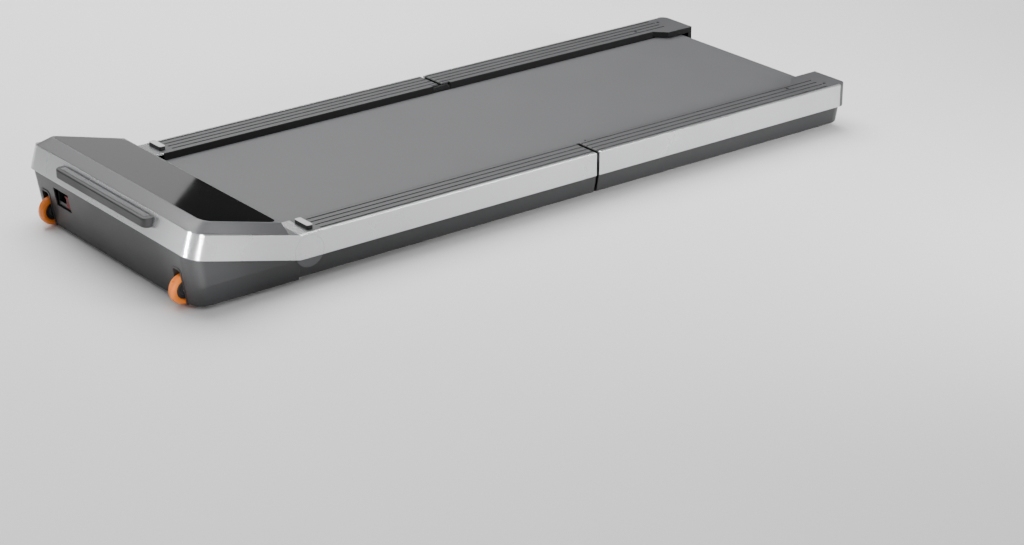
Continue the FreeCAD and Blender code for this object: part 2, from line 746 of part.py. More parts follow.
def rail_channel(name, y_low, y_high, fold, slot):
    """A foot rail: a channel whose inner wall stands on the deck board, rounded at the fold."""
    block = rounded(name + "_round",
                    box(name + "_block", "rail_inner", "rail_outer", y_low, y_high, "rail_top - rail_leg",
                        "rail_top"),
                    ("rail_fold_radius", lambda edge: runs_along(edge, "x") and ends_at(edge, "y", fold)
                     and ends_at(edge, "z", "rail_top")),
                    ("rail_edge_radius", lambda edge: runs_along(edge, "y")
                     and ends_at(edge, "z", "rail_top")
                     and ends_at(edge, "x", "rail_inner")))
    hollow = box(name + "_hollow", "rail_inner + rail_wall", "rail_outer - rail_wall",
                 "(%s) - cut_overrun" % y_low,
                 "(%s) + cut_overrun" % y_high, "band_bottom", "rail_top - rail_wall")
    foot_room = box(name + "_foot_room", "rail_inner - cut_overrun", "rail_inner + rail_wall",
                    "(%s) - cut_overrun" % y_low, "(%s) + cut_overrun" % y_high, "band_bottom", "board_top")
    return cut(name + "_run", block, hollow, foot_room, slot)


def link_slot(name, y_low, y_high):
    """The room in a rail's inner edge that the hinge link swings through."""
    return box(name, "rail_inner - cut_overrun", "ear_inner", y_low, y_high, "board_low",
               "rail_top + cut_overrun")


def grip_grooves(stem, y_low, y_high, end):
    """The grooves along the top of a foot rail, each with a round end away from the fold."""
    grooves = []
    groove_count = 4
    for number in range(groove_count):
        middle = "rail_inner + groove_stand_in + groove_pitch * %d" % number
        run = box("%s_groove_run_%d" % (stem, number), middle + " - groove_width / 2",
                  middle + " + groove_width / 2", y_low, y_high, "rail_top - groove_depth",
                  "rail_top + cut_overrun")
        tip = rod("%s_groove_tip_%d" % (stem, number), "z", middle, end, "rail_top - groove_depth",
                  "groove_width / 2", "groove_depth + cut_overrun")
        grooves.append(fuse("%s_groove_%d" % (stem, number), run, tip))
    return grooves


front_slot = link_slot("front_slot", "pivot_front - link_radius - link_gap", "front_end + cut_overrun")
front_channel = rail_channel("rail_front", "rail_start", "front_end", "front_end", front_slot)
side_pair("rail_front", cut("rail_front_solid", front_channel,
                            *grip_grooves("rail_front", "rail_start + groove_start",
                                          "front_end + cut_overrun", "rail_start + groove_start")))

# The rear rail widens at the tail, where it covers the roller's end, and closes the band with an
# end wall that has a key hole for the belt adjuster.
tail_plan = prism("tail_plan", "XY_Plane",
                  [("rail_inner", "tail_start"), ("rail_outer", "tail_start"),
                   ("rail_outer", "tail_y - band_end"),
                   ("half_width", "tail_y - band_end"), ("half_width", "tail_y"), ("tail_inner", "tail_y"),
                   ("tail_inner", "tail_start + rail_jog")], "belt_top + tail_guard_gap", "rail_top")
tail_block = rounded("tail_block", fuse("tail_sum", tail_plan,
                                        box("tail_end", "tail_inner", "half_width", "tail_y - band_end",
                                            "tail_y",
                                            "band_bottom", "rail_top")),
                     ("rail_tail_radius", lambda edge: runs_along(edge, "z")
                      and ends_at(edge, "x", "half_width")
                      and ends_at(edge, "y", "tail_y")))
tail_hollow = prism("tail_hollow", "XY_Plane",
                    [("rail_inner + rail_wall", "tail_start - cut_overrun"),
                     ("rail_outer - rail_wall", "tail_start - cut_overrun"),
                     ("rail_outer - rail_wall", "tail_y - rail_wall - band_wall"),
                     ("tail_inner + rail_wall", "tail_y - rail_wall - band_wall"),
                     ("tail_inner + rail_wall", "tail_start + rail_jog"),
                     ("rail_inner + rail_wall", "tail_start")],
                    "band_bottom - cut_overrun", "rail_top - rail_wall")
belt_room = box("belt_room", "tail_inner - cut_overrun", "roller_length / 2 + tail_guard_gap",
                "tail_start - cut_overrun", "rear_roller_y + wrap_outer + tail_guard_gap",
                "band_bottom - cut_overrun", "belt_top + tail_guard_gap")
key_hole = rod("key_hole", "y", "adjuster_x", "tail_y - cut_overrun", "roller_z", "adjuster_key_radius",
               "2 * cut_overrun")
rear_slot = link_slot("rear_slot", "rear_end - cut_overrun", "pivot_rear + link_radius + link_gap")
rear_channel = fuse("rail_rear_channel",
                    rail_channel("rail_rear", "rear_end", "tail_start", "rear_end", rear_slot),
                    cut("rail_rear_tail", tail_block, tail_hollow, belt_room, key_hole))
side_pair("rail_rear", cut("rail_rear_solid", rear_channel,
                           *grip_grooves("rail_rear", "rear_end - cut_overrun",
                                         "tail_y - groove_tail_gap", "tail_y - groove_tail_gap")))

# The steel side members, the decks on their rubber cushions, and a cross tube under each half. The
# rear members have an open slot for the roller's axle and an end plate for its adjuster.
def side_member(stem, y_low, y_high, *tools):
    """A square tube along one side of a deck half."""
    tube = box(stem + "_tube", "frame_inner", "frame_outer", y_low, y_high, "deck_floor", "frame_top")
    core = box(stem + "_core", "frame_inner + frame_wall", "frame_outer - frame_wall",
               "(%s) - cut_overrun" % y_low,
               "(%s) + cut_overrun" % y_high, "deck_floor + frame_wall", "frame_top - frame_wall")
    return cut(stem + "_member", tube, core, *tools)


axle_slot = box("axle_slot", "frame_inner - cut_overrun", "frame_outer + cut_overrun",
                "rear_roller_y - axle_radius - pin_clearance", "tail_y", "roller_z - axle_radius",
                "frame_top + cut_overrun")
end_plate = cut("end_plate",
                box("end_plate_block", "frame_inner", "frame_outer", "frame_tail - frame_end_wall",
                    "frame_tail",
                    "deck_floor", "roller_z + frame_end_rise"),
                rod("end_plate_hole", "y", "adjuster_x", "frame_tail - cut_overrun", "roller_z",
                    "adjuster_radius + pin_clearance", "2 * cut_overrun"))
side_pair("front_frame", side_member("front_frame", "frame_front", "front_end - frame_end_gap"))
side_pair("rear_frame", fuse("rear_frame_solid",
                             side_member("rear_frame", "rear_end + frame_end_gap", "frame_tail", axle_slot),
                             end_plate))


def cross_tube(label, y_low):
    """A tube across the pad between the side members, below the belt's return run."""
    tube = box(label + "_tube", "-frame_inner", "frame_inner", y_low, "(%s) + cross_width" % y_low,
               "deck_floor",
               "cross_top")
    core = box(label + "_core", "-half_width", "half_width", "(%s) + frame_wall" % y_low,
               "(%s) + cross_width - frame_wall" % y_low, "deck_floor + frame_wall",
               "cross_top - frame_wall")
    node(label, cut(label + "_solid", tube, core))


cross_tube("front_crossmember", "front_end - cross_setback - cross_width")
cross_tube("rear_crossmember", "rear_end + cross_setback")


def deck_board(label, y_low, y_high, notch_low, notch_high):
    """A deck board, notched at its fold corners for the hinge brackets."""
    plank = box(label + "_plank", "-board_half", "board_half", y_low, y_high, "board_low", "board_top")
    notch = box(label + "_notch", "rail_inner - link_gap", "half_width", notch_low, notch_high,
                "board_low - cut_overrun", "board_top + cut_overrun")
    node(label, cut(label + "_solid", plank, notch, mirror(label + "_notch_mirrored", notch)))


deck_board("deck_board_front", "frame_front", "front_end - frame_end_gap", "notch_front", "fold_y")
deck_board("deck_board_rear", "rear_end + frame_end_gap", "board_tail", "fold_y", "notch_rear")


def cushions(label, start, run):
    """Rubber cushions in a row on each side member, under the deck board."""
    pads = []
    row_shares = (0.0, 0.5, 1.0)
    for number, share in enumerate(row_shares):
        y_low = "(%s) + (%s) * %s" % (start, run, share)
        pad = box("%s_pad_%d" % (label, number), "frame_inner", "board_half", y_low,
                  "(%s) + cushion_length" % y_low, "frame_top", "board_low")
        pads.append(pad)
        pads.append(mirror("%s_mirrored_%d" % (label, number), pad))
    node(label, group(label + "_solids", *pads))


cushions("deck_cushions_front", "frame_front + cushion_length",
         "notch_front - frame_front - 3 * cushion_length")
cushions("deck_cushions_rear", "notch_rear + cushion_length",
         "board_tail - notch_rear - 3 * cushion_length")


def belt_half(label, roller_y, end_y, sign):
    """One half of the walking belt: both runs and the turn round its roller, cut at the fold."""
    loops = []
    for part, radius, reach in (("outer", "wrap_outer", "0"), ("inner", "wrap_inner", "cut_overrun")):
        width = "belt_width" if part == "outer" else "2 * belt_width"
        near, far = roller_y, "(%s) + %s" % (end_y, reach)
        if sign < 0:
            near, far = "(%s) - %s" % (end_y, reach), roller_y
        turn = rod("%s_%s_turn" % (label, part), "x", "-(%s) / 2" % width, roller_y, "roller_z", radius,
                   width)
        runs = box("%s_%s_runs" % (label, part), "-(%s) / 2" % width, "(%s) / 2" % width, near, far,
                   "roller_z - " + radius, "roller_z + " + radius)
        loops.append(fuse("%s_%s" % (label, part), turn, runs))
    node(label, cut(label + "_solid", *loops))


belt_half("belt_front", "front_roller_y", "front_end", 1)
belt_half("belt_rear", "rear_roller_y", "rear_end", -1)


def roller(stem, roller_y):
    """A belt roller with a bearing in each end, turning on a fixed axle."""
    drum = rod(stem + "_drum", "x", "-roller_length / 2", roller_y, "roller_z", "roller_radius",
               "roller_length")
    bore = rod(stem + "_bore", "x", "-roller_length / 2 - cut_overrun", roller_y, "roller_z", "roller_bore",
               "roller_length + 2 * cut_overrun")
    node(stem, cut(stem + "_solid", drum, bore))
    ring = rod(stem + "_ring", "x", "roller_length / 2 - bearing_width", roller_y, "roller_z",
               "roller_bore",
               "bearing_width")
    eye = rod(stem + "_eye", "x", "roller_length / 2 - cut_overrun", roller_y, "roller_z",
              "axle_radius + pin_clearance", "2 * cut_overrun")
    node(stem + "_bearings", pair(stem + "_bearing_pair", cut(stem + "_bearing", ring, eye)))
    node(stem + "_axle", rod(stem + "_axle_solid", "x", "-axle_length / 2", roller_y, "roller_z",
                             "axle_radius",
                             "axle_length"))


roller("front_roller", "front_roller_y")
roller("rear_roller", "rear_roller_y")
front_bracket = box("roller_bracket_block", "axle_length / 2 - bracket_wall", "axle_length / 2",
                    "front_roller_y - axle_radius - bracket_rim", "frame_front", "head_floor",
                    "roller_z + bracket_rise")
bracket_eye = rod("roller_bracket_eye", "x", "axle_length / 2 - cut_overrun", "front_roller_y", "roller_z",
                  "axle_radius + pin_clearance", "2 * cut_overrun")
node("roller_brackets", pair("roller_bracket_pair", cut("roller_bracket", front_bracket, bracket_eye)))
bolt_shank = rod("adjuster_shank", "y", "adjuster_x", "rear_roller_y + axle_radius", "roller_z",
                 "adjuster_radius",
                 "frame_tail - rear_roller_y - axle_radius")
bolt_head = rod("adjuster_head", "y", "adjuster_x", "frame_tail", "roller_z", "adjuster_head_radius",
                "adjuster_head_length")
node("adjuster_bolts", pair("adjuster_pair", fuse("adjuster_bolt", bolt_shank, bolt_head)))

# The fold: on each side a dog-bone link turns on one pin in the front bracket and on another in
# the rear bracket, so that the rear deck swings up, over and down flat above the front deck.
def hinge_ear(stem, pivot_y, y_low, y_high):
    """A bracket on the side member whose round ear holds the hinge pin."""
    web = box(stem + "_web", "ear_inner", "ear_outer", y_low, y_high, "frame_top", "pivot_z + link_radius")
    eye = rod(stem + "_eye", "x", "ear_inner", pivot_y, "pivot_z", "link_radius", "ear_thickness")
    hole = rod(stem + "_hole", "x", "ear_inner - cut_overrun", pivot_y, "pivot_z",
               "pivot_pin_radius + pin_clearance", "ear_thickness + 2 * cut_overrun")
    node("hinge_brackets_" + stem, pair(stem + "_bracket_pair",
                                        cut(stem + "_bracket", fuse(stem + "_ear", web, eye),
                                                                    hole)))
    pin = rod(stem + "_pin", "x", "link_inner", pivot_y, "pivot_z", "pivot_pin_radius",
              "ear_outer - link_inner")
    node("hinge_pins_" + stem, pair(stem + "_pin_pair", pin))


hinge_ear("front", "pivot_front", "pivot_front - ear_length", "pivot_front")
hinge_ear("rear", "pivot_rear", "pivot_rear", "pivot_rear + ear_length")
link_plate = fuse("link_plate",
                  box("link_web", "link_inner", "link_outer", "pivot_front", "pivot_rear",
                      "pivot_z - link_radius",
                      "pivot_z + link_radius"),
                  rod("link_front_end", "x", "link_inner", "pivot_front", "pivot_z", "link_radius",
                      "link_thickness"),
                  rod("link_rear_end", "x", "link_inner", "pivot_rear", "pivot_z", "link_radius",
                      "link_thickness"))
link_holes = [rod("link_hole_" + end, "x", "link_inner - cut_overrun", "pivot_" + end, "pivot_z",
                  "pivot_pin_radius + pin_clearance", "link_thickness + 2 * cut_overrun")
              for end in ("front", "rear")]
side_pair("hinge_link", cut("hinge_link_solid", link_plate, *link_holes))

# Small pieces on the outside: the bumpers that the folded deck lies on, and the round hub discs
# on the shell below the kink in the band.
bumper = rounded("bumper_round",
                 box("bumper_block", "half_width - bumper_stand_in - bumper_width",
                     "half_width - bumper_stand_in",
                     "rail_start", "rail_start + bumper_depth", "rail_top",
                     "rail_top + bumper_height"),
                 ("bumper_radius", lambda edge: runs_along(edge, "z")))
node("rail_bumpers", pair("rail_bumper_pair", bumper))
hub = rod("hub_block", "x", "half_width - hub_depth", "hub_y", "rail_top - hub_drop", "hub_radius",
          "hub_depth - hub_stand_in")
hub_trim = box("hub_trim", "half_width - hub_depth - cut_overrun", "half_width + cut_overrun",
               "kink_y - 2 * hub_radius", "kink_y + 4 * hub_radius", "band_bottom - running_gap",
               "rail_top + cut_overrun")
hub_slope = prism("hub_slope", "YZ_Plane",
                  [("kink_y - 2 * hub_radius", "band_bottom + 2 * hub_radius * band_fall - running_gap"),
                   ("kink_y", "band_bottom - running_gap"), ("kink_y", "rail_top + cut_overrun"),
                   ("kink_y - 2 * hub_radius", "rail_top + cut_overrun")], "-half_width", "half_width")
node("hub_discs", pair("hub_pair", cut("hub_disc", hub, hub_trim, hub_slope, tub_outer, front_edge)))

# The transport wheels at the nose, each on an axle in a housing let into the shell. A wheel is turned
# with a dished web, a hub and a tyre whose shoulders are rounded in steps.
half_wheel = [("wheel_width / 2", "wheel_axle_radius + pin_clearance"),
              ("wheel_width / 2", "wheel_hub_radius"),
              ("wheel_width / 2 - wheel_dish", "wheel_hub_radius"),
              ("wheel_width / 2 - wheel_dish", "wheel_radius - wheel_tread"),
              ("wheel_width / 2", "wheel_radius - wheel_tread")]
shoulder_steps = 3
for step in range(shoulder_steps + 1):
    turn = math.pi / 2 * step / shoulder_steps
    half_wheel.append(("wheel_width / 2 - wheel_rim_radius * %s" % (1 - math.cos(turn)),
                       "wheel_radius - wheel_rim_radius * %s" % (1 - math.sin(turn))))
wheel_outline = half_wheel + [("-(%s)" % across, radius) for across, radius in reversed(half_wheel)]
side_pair("transport_wheel", turned("wheel_solid", wheel_outline, "wheel_x", "wheel_y", "wheel_z"))
well = rounded("wheel_well",
               box("wheel_well_block", "well_inner", "well_outer", "front_face - cut_overrun", "well_rear",
                   "head_clearance - cut_overrun", "well_top"), ("well_radius", along_at("well_top")))
axle_eye = rod("axle_eye", "x", "housing_inner - cut_overrun", "wheel_y", "wheel_z",
               "wheel_axle_radius + pin_clearance", "housing_outer - housing_inner + 2 * cut_overrun")
node("wheel_housings", pair("wheel_housing_pair", cut("wheel_housing", housing_form, well, axle_eye)))
node("wheel_axles", pair("wheel_axle_pair", rod("wheel_axle", "x", "housing_inner", "wheel_y", "wheel_z",
                                                "wheel_axle_radius", "housing_outer - housing_inner")))

# The power inlet: a socket with three contacts and a rocker switch in one recessed housing.
inlet_block = box("inlet_block", "-inlet_center - inlet_width / 2 - inlet_rim",
                  "-inlet_center + inlet_width / 2 + inlet_rim", "inlet_y", "inlet_y + inlet_depth",
                  "inlet_low - inlet_rim", "inlet_low + inlet_height + inlet_rim")
socket = box("socket", "socket_x - socket_width / 2", "socket_x + socket_width / 2",
             "inlet_y - cut_overrun", "inlet_y + socket_depth", "inlet_z - socket_height / 2",
             "inlet_z + socket_height / 2")
contacts = []
contact_shares = ((-0.5, -0.15), (0.0, 0.15), (0.5, -0.15))
for number, (side_share, rise_share) in enumerate(contact_shares):
    contact_x = "socket_x + socket_pin_pitch * %s" % side_share
    contact_z = "inlet_z + socket_height * %s" % rise_share
    contacts.append(box("contact_%d" % number, contact_x + " - socket_pin_width / 2",
                        contact_x + " + socket_pin_width / 2", "inlet_y + socket_depth - socket_pin_length",
                        "inlet_y + socket_depth + socket_pin_width", contact_z + " - socket_pin_height / 2",
                        contact_z + " + socket_pin_height / 2"))
rocker_room = rod("rocker_room", "x", "rocker_x - rocker_width / 2 - running_gap", "rocker_y", "inlet_z",
                  "sqrt(rocker_front ^ 2 + rocker_height ^ 2 / 4) + running_gap",
                  "rocker_width + 2 * running_gap")
rocker_eye = rod("rocker_eye", "x", "rocker_x - rocker_width / 2 - rocker_pivot_reach - running_gap",
                 "rocker_y", "inlet_z", "rocker_pivot_radius + pin_clearance",
                 "rocker_width + 2 * rocker_pivot_reach + 2 * running_gap")
node("power_inlet", fuse("power_inlet_solid", cut("inlet_shell", inlet_block, socket, rocker_room,
                                                  rocker_eye),
                         *contacts))
rocker_key = prism("rocker_key", "YZ_Plane",
                   [("-rocker_dip", "0"), ("-rocker_front", "rocker_height / 2"),
                    ("rocker_back", "rocker_height / 2"), ("rocker_front", "0"),
                    ("rocker_back", "-rocker_height / 2"), ("-rocker_front", "-rocker_height / 2")],
                   "-rocker_width / 2", "rocker_width / 2")
rocker_pivot = rod("rocker_pivot", "x", "-rocker_width / 2 - rocker_pivot_reach", "0", "0",
                   "rocker_pivot_radius",
                   "rocker_width + 2 * rocker_pivot_reach")
rocker_solid = fuse("power_rocker_solid", rocker_key, rocker_pivot)
rocker_solid.Placement.Rotation = Rotation(Vector(1, 0, 0), size("rocker_tilt_degrees"))
place(rocker_solid, "rocker_x", "rocker_y", "inlet_z")
node("power_rocker", rocker_solid)

# The drive: a motor on its plate turns the front roller through a ribbed belt, beside the
# control box.
motor_case = fuse("motor_case",
                  rod("motor_drum", "x", "motor_start", "motor_y", "motor_z", "motor_radius",
                      "motor_length"),
                  rod("motor_bell", "x", "motor_start - motor_bell_length", "motor_y", "motor_z",
                      "motor_bell_radius", "motor_length + 2 * motor_bell_length"),
                  box("motor_foot", "motor_start + (motor_length - motor_foot_length) / 2",
                      "motor_start + (motor_length + motor_foot_length) / 2",
                      "motor_y - motor_foot_width / 2",
                      "motor_y + motor_foot_width / 2", "plate_top", "motor_z"))
motor_eye = rod("motor_eye", "x", "motor_end - motor_shaft_seat", "motor_y", "motor_z",
                "motor_shaft_radius + pin_clearance", "motor_shaft_seat + cut_overrun")
node("motor", cut("motor_solid", motor_case, motor_eye))
node("motor_plate", box("motor_plate_solid", "motor_start - motor_plate_lap", "motor_end + motor_plate_lap",
                        "motor_y - motor_radius", "motor_y + motor_radius", "head_floor", "plate_top"))
node("motor_shaft", rod("motor_shaft_solid", "x", "motor_end - motor_shaft_seat + running_gap", "motor_y",
                        "motor_z", "motor_shaft_radius",
                        "pulley_start + pulley_width - motor_end + motor_shaft_seat - running_gap"))


def pulley(label, y, z, radius, bore):
    """A flanged pulley for the ribbed belt."""
    rim = rod(label + "_rim", "x", "pulley_start", y, z, radius, "pulley_width")
    flanges = [rod("%s_flange_%d" % (label, number), "x", start, y, z, radius + " + pulley_flange_rise",
                   "pulley_flange")
               for number, start in enumerate(("pulley_start",
                                               "pulley_start + pulley_width - pulley_flange"))]
    hole = rod(label + "_hole", "x", "pulley_start - cut_overrun", y, z, bore,
               "pulley_width + 2 * cut_overrun")
    node(label, cut(label + "_solid", fuse(label + "_sum", rim, *flanges), hole))


pulley("motor_pulley", "motor_y", "motor_z", "motor_pulley_radius", "motor_shaft_radius")
pulley("drive_pulley", "front_roller_y", "roller_z", "drive_pulley_radius", "axle_radius + pin_clearance")


def belt_loop(sketch, wrap):
    """An open belt round both pulleys: two arcs joined by the two tangent lines."""
    first = (size("motor_y"), size("motor_z"), size("motor_pulley_radius") + size("running_gap"))
    second = (size("front_roller_y"), size("roller_z"), size("drive_pulley_radius") + size("running_gap"))
    extra = size("drive_belt_thickness") if wrap else 0
    run = math.hypot(second[0] - first[0], second[1] - first[1])
    heading = math.atan2(second[1] - first[1], second[0] - first[0])
    spread = math.acos((first[2] - second[2]) / run)
    centers = [Vector(first[0], first[1], 0), Vector(second[0], second[1], 0)]
    radii = [first[2] + extra, second[2] + extra]
    touch = [[center + Vector(math.cos(turn), math.sin(turn), 0) * radius
              for turn in (heading + spread, heading - spread)] for center, radius in zip(centers, radii)]
    arcs = [Part.ArcOfCircle(Part.Circle(centers[0], Vector(0, 0, 1), radii[0]), heading + spread,
                             heading - spread + math.tau),
            Part.ArcOfCircle(Part.Circle(centers[1], Vector(0, 0, 1), radii[1]), heading - spread,
                             heading + spread)]
    lines = [Part.LineSegment(touch[0][1], touch[1][1]), Part.LineSegment(touch[1][0], touch[0][0])]
    start = sketch.GeometryCount
    for curve in (arcs[0], lines[0], arcs[1], lines[1]):
        sketch.addGeometry(curve)
    for turn in range(4):
        sketch.addConstraint(Sketcher.Constraint("Tangent", start + turn, 2, start + (turn + 1) % 4, 1))
    wall = " + drive_belt_thickness" if wrap else ""
    for curve, across, up, radius in ((start, "motor_y", "motor_z", "motor_pulley_radius"),
                                      (start + 2, "front_roller_y", "roller_z", "drive_pulley_radius")):
        for constraint, text in ((Sketcher.Constraint("DistanceX", -1, 1, curve, 3, size(across)), across),
                                 (Sketcher.Constraint("DistanceY", -1, 1, curve, 3, size(up)), up),
                                 (Sketcher.Constraint("Radius", curve, size(radius)),
                                  radius + " + running_gap" + wall)):
            number = sketch.addConstraint(constraint)
            sketch.setExpression("Constraints[%d]" % number, bound(text))


drive_belt = doc.addObject("PartDesign::Body", "drive_belt_body")
drive_sketch = drive_belt.newObject("Sketcher::SketchObject", "drive_belt_loops")
drive_sketch.AttachmentSupport = [(origin_part(drive_belt, "YZ_Plane"), "")]
drive_sketch.MapMode = "FlatFace"
belt_loop(drive_sketch, False)
belt_loop(drive_sketch, True)
drive_pad = drive_belt.newObject("PartDesign::Pad", "drive_belt_pad")
drive_pad.Profile = drive_sketch
drive_pad.SideType = "Symmetric"
bind(drive_pad, Length="drive_belt_width")
place(drive_belt, x="pulley_start + pulley_width / 2")
node("drive_belt", drive_belt)
node("controller", box("controller_solid", "-controller_end", "controller_length - controller_end",
                       "inlet_y + inlet_depth + controller_gap",
                       "front_roller_y - wrap_outer - controller_gap", "head_floor",
                       "head_floor + controller_height"))


def foot(name, x, y, top):
    """A round rubber foot: a ring against the shell and a raised tread."""
    ring = rod(name + "_ring", "z", x, y, "(%s) - foot_ring_height" % top, "foot_ring_radius",
               "foot_ring_height")
    tread = rod(name + "_tread", "z", x, y, "0", "foot_radius", top)
    return fuse(name, ring, tread)


# The rubber feet under the head, at the fold and at the tail.
fold_foot = foot("fold_foot", "foot_x", "fold_y - foot_fold_reach", "foot_height")
head_foot = foot("head_foot", "foot_x - foot_ring_radius", "nose_y + foot_head_gap", "head_clearance")
node("feet_front", group("feet_front_solids", fold_foot, mirror("fold_foot_left", fold_foot), head_foot,
                         mirror("head_foot_left", head_foot)))
near_foot = foot("near_foot", "foot_x", "fold_y + foot_fold_reach", "foot_height")
tail_foot = foot("tail_foot", "foot_x", "tail_y - foot_tail_gap", "foot_height")
node("feet_rear", group("feet_rear_solids", near_foot, mirror("near_foot_left", near_foot), tail_foot,
                        mirror("tail_foot_left", tail_foot)))

doc.recompute()
failed = [part.Name for part in doc.Objects if {"Invalid", "Error"} & set(part.State)]
if failed:
    raise RuntimeError("these objects failed: " + ", ".join(failed))
for piece in nodes:
    if piece.Shape.isNull() or not piece.Shape.isValid():
        raise RuntimeError("this piece has no valid shape: " + piece.Label)
os.makedirs("parts", exist_ok=True)
for piece in nodes:
    piece.Shape.exportStep("parts/" + piece.Label + ".step")
print(len(nodes), "pieces written")
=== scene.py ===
import json
import math
import bmesh
import bpy
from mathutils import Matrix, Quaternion, Vector


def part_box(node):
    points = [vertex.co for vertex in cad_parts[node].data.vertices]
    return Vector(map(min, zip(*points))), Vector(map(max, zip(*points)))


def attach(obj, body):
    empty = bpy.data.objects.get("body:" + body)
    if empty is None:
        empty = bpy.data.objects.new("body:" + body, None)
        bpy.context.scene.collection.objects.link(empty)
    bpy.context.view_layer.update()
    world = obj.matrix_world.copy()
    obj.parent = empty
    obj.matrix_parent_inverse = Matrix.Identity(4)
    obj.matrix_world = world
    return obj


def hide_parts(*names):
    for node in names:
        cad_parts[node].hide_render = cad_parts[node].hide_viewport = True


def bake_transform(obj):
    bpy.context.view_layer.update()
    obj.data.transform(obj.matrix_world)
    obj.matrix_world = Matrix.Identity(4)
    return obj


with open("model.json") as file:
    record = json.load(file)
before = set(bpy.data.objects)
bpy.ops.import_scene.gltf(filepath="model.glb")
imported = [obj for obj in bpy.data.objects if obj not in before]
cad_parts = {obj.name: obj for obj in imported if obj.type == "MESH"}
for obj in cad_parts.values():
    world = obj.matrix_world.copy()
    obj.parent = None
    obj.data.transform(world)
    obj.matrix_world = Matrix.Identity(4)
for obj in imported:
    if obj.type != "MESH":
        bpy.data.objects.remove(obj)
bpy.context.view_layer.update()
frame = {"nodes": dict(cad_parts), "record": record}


# Steel chassis
# Box-section side members, cross tubes and plate brackets for each deck, cut and welded from sheet steel.
# All of it is powder coated black, with the faint orange-peel skin that such a coat dries to.
def add(tree, kind, inputs=(), **settings):
    made = tree.nodes.new(kind)
    for name, value in settings.items():
        setattr(made, name, value)
    for key, value in dict(inputs).items():
        if isinstance(value, bpy.types.NodeSocket):
            tree.links.new(value, made.inputs[key])
        else:
            made.inputs[key].default_value = value
    return made


def ramped(tree, factor, low, high, start=0.35, end=0.65):
    ramp = add(tree, "ShaderNodeValToRGB", {"Fac": factor})
    ramp.color_ramp.elements[0].position = start
    ramp.color_ramp.elements[1].position = end
    ramp.color_ramp.elements[0].color = (*low, 1)
    ramp.color_ramp.elements[1].color = (*high, 1)
    return ramp.outputs["Color"]


def ranged(tree, value, start, end, low=0.0, high=1.0):
    limits = {"Value": value, "From Min": start, "From Max": end, "To Min": low, "To Max": high}
    return add(tree, "ShaderNodeMapRange", limits).outputs["Result"]


def painted(material, mask, colour):
    tree = material.node_tree
    tint = tree.nodes["Principled BSDF"].inputs["Base Color"]
    coats = {"Factor": mask, "A": tint.links[0].from_socket, "B": (*colour, 1)}
    tree.links.new(add(tree, "ShaderNodeMix", coats, data_type="RGBA").outputs["Result"], tint)


def scaled(colour, share):
    return [min(1.0, channel * share) for channel in colour]


def surface(name, colour, rough, cloud=12, shade=0.08, grain=900, depth=0.00006, soft=0.0008, edge_wear_and_highlight=0.0,
            metal=0.0, spread=0.06, stretch=(1, 1, 1)):
    edge_start, edge_full, edge_gain = 0.995, 0.80, 1.9
    cloud_low, cloud_high = 0.3, 0.7
    material = bpy.data.materials.new(name)
    material.use_nodes = True
    tree = material.node_tree
    skin = tree.nodes["Principled BSDF"]
    skin.inputs["Metallic"].default_value = metal
    place = add(tree, "ShaderNodeTexCoord").outputs["Object"]
    laid = add(tree, "ShaderNodeMapping", {"Vector": place, "Scale": stretch}).outputs["Vector"]
    clouds = add(tree, "ShaderNodeTexNoise", {"Vector": laid, "Scale": cloud, "Detail": 5.0}).outputs["Fac"]
    tint = ramped(tree, clouds, scaled(colour, 1 - shade), scaled(colour, 1 + shade))
    tree.links.new(tint, skin.inputs["Base Color"])
    gloss = ranged(tree, clouds, cloud_low, cloud_high, rough - spread, rough + spread)
    tree.links.new(gloss, skin.inputs["Roughness"])
    rounded = add(tree, "ShaderNodeBevel", {"Radius": soft}, samples=4).outputs["Normal"]
    # Convex edges are painted up to edge_gain times lighter: partly rubbed wear, partly a painted highlight
    # along each edge.
    if edge_wear_and_highlight:
        flat = add(tree, "ShaderNodeNewGeometry").outputs["Normal"]
        bend = add(tree, "ShaderNodeVectorMath", {0: rounded, 1: flat}, operation="DOT_PRODUCT")
        edge = ranged(tree, bend.outputs["Value"], edge_start, edge_full, high=edge_wear_and_highlight)
        painted(material, edge, scaled(colour, edge_gain))
    grains = add(tree, "ShaderNodeTexNoise", {"Vector": laid, "Scale": grain, "Detail": 3.0}).outputs["Fac"]
    bump = add(tree, "ShaderNodeBump", {"Height": grains, "Normal": rounded, "Strength": 0.5,
                                        "Distance": depth})
    tree.links.new(bump.outputs["Normal"], skin.inputs["Normal"])
    return material


def dress(material, *names):
    for name in names:
        for slot in frame["nodes"][name].material_slots:
            slot.material = material


powder_coat = surface("powder_coat_black", (0.022, 0.022, 0.024), 0.42, grain=420, depth=0.00012, edge_wear_and_highlight=0.3)
dress(powder_coat, "front_frame_left", "front_frame_right", "front_crossmember", "rear_frame_left",
      "rear_frame_right", "rear_crossmember", "roller_brackets", "motor_plate", "hinge_brackets_front",
      "hinge_brackets_rear")

# Lower shells
# Three injection-moulded trays in charcoal plastic, spark-textured outside, that close the head and both
# decks from below. Screws through the flat bottoms of the deck trays hold them to the chassis.
shell_skin = surface("charcoal_moulding", (0.020, 0.0203, 0.0215), 0.44, cloud=7, shade=0.06, grain=1500,
                     depth=0.00010, soft=0.0015, edge_wear_and_highlight=0.25)
dress(shell_skin, "head_base", "front_base", "rear_base")
well_skin = surface("well_moulding", (0.016, 0.016, 0.018), 0.5, grain=1400, depth=0.00008, edge_wear_and_highlight=0.5)
dress(well_skin, "wheel_housings")
screw_steel = surface("blackened_screw", (0.02, 0.02, 0.022), 0.36, metal=0.6, grain=2600, depth=0.00003,
                      edge_wear_and_highlight=0.6)
# Screw recesses are painted near black, far darker than the screw steel: painted shade inside each recess.
recess_painted_shade = surface("screw_recess_painted_shade", (0.004, 0.004, 0.004), 0.7, grain=2000)


def worked(tree, operation, *values):
    return add(tree, "ShaderNodeMath", dict(enumerate(values)), operation=operation).outputs[0]


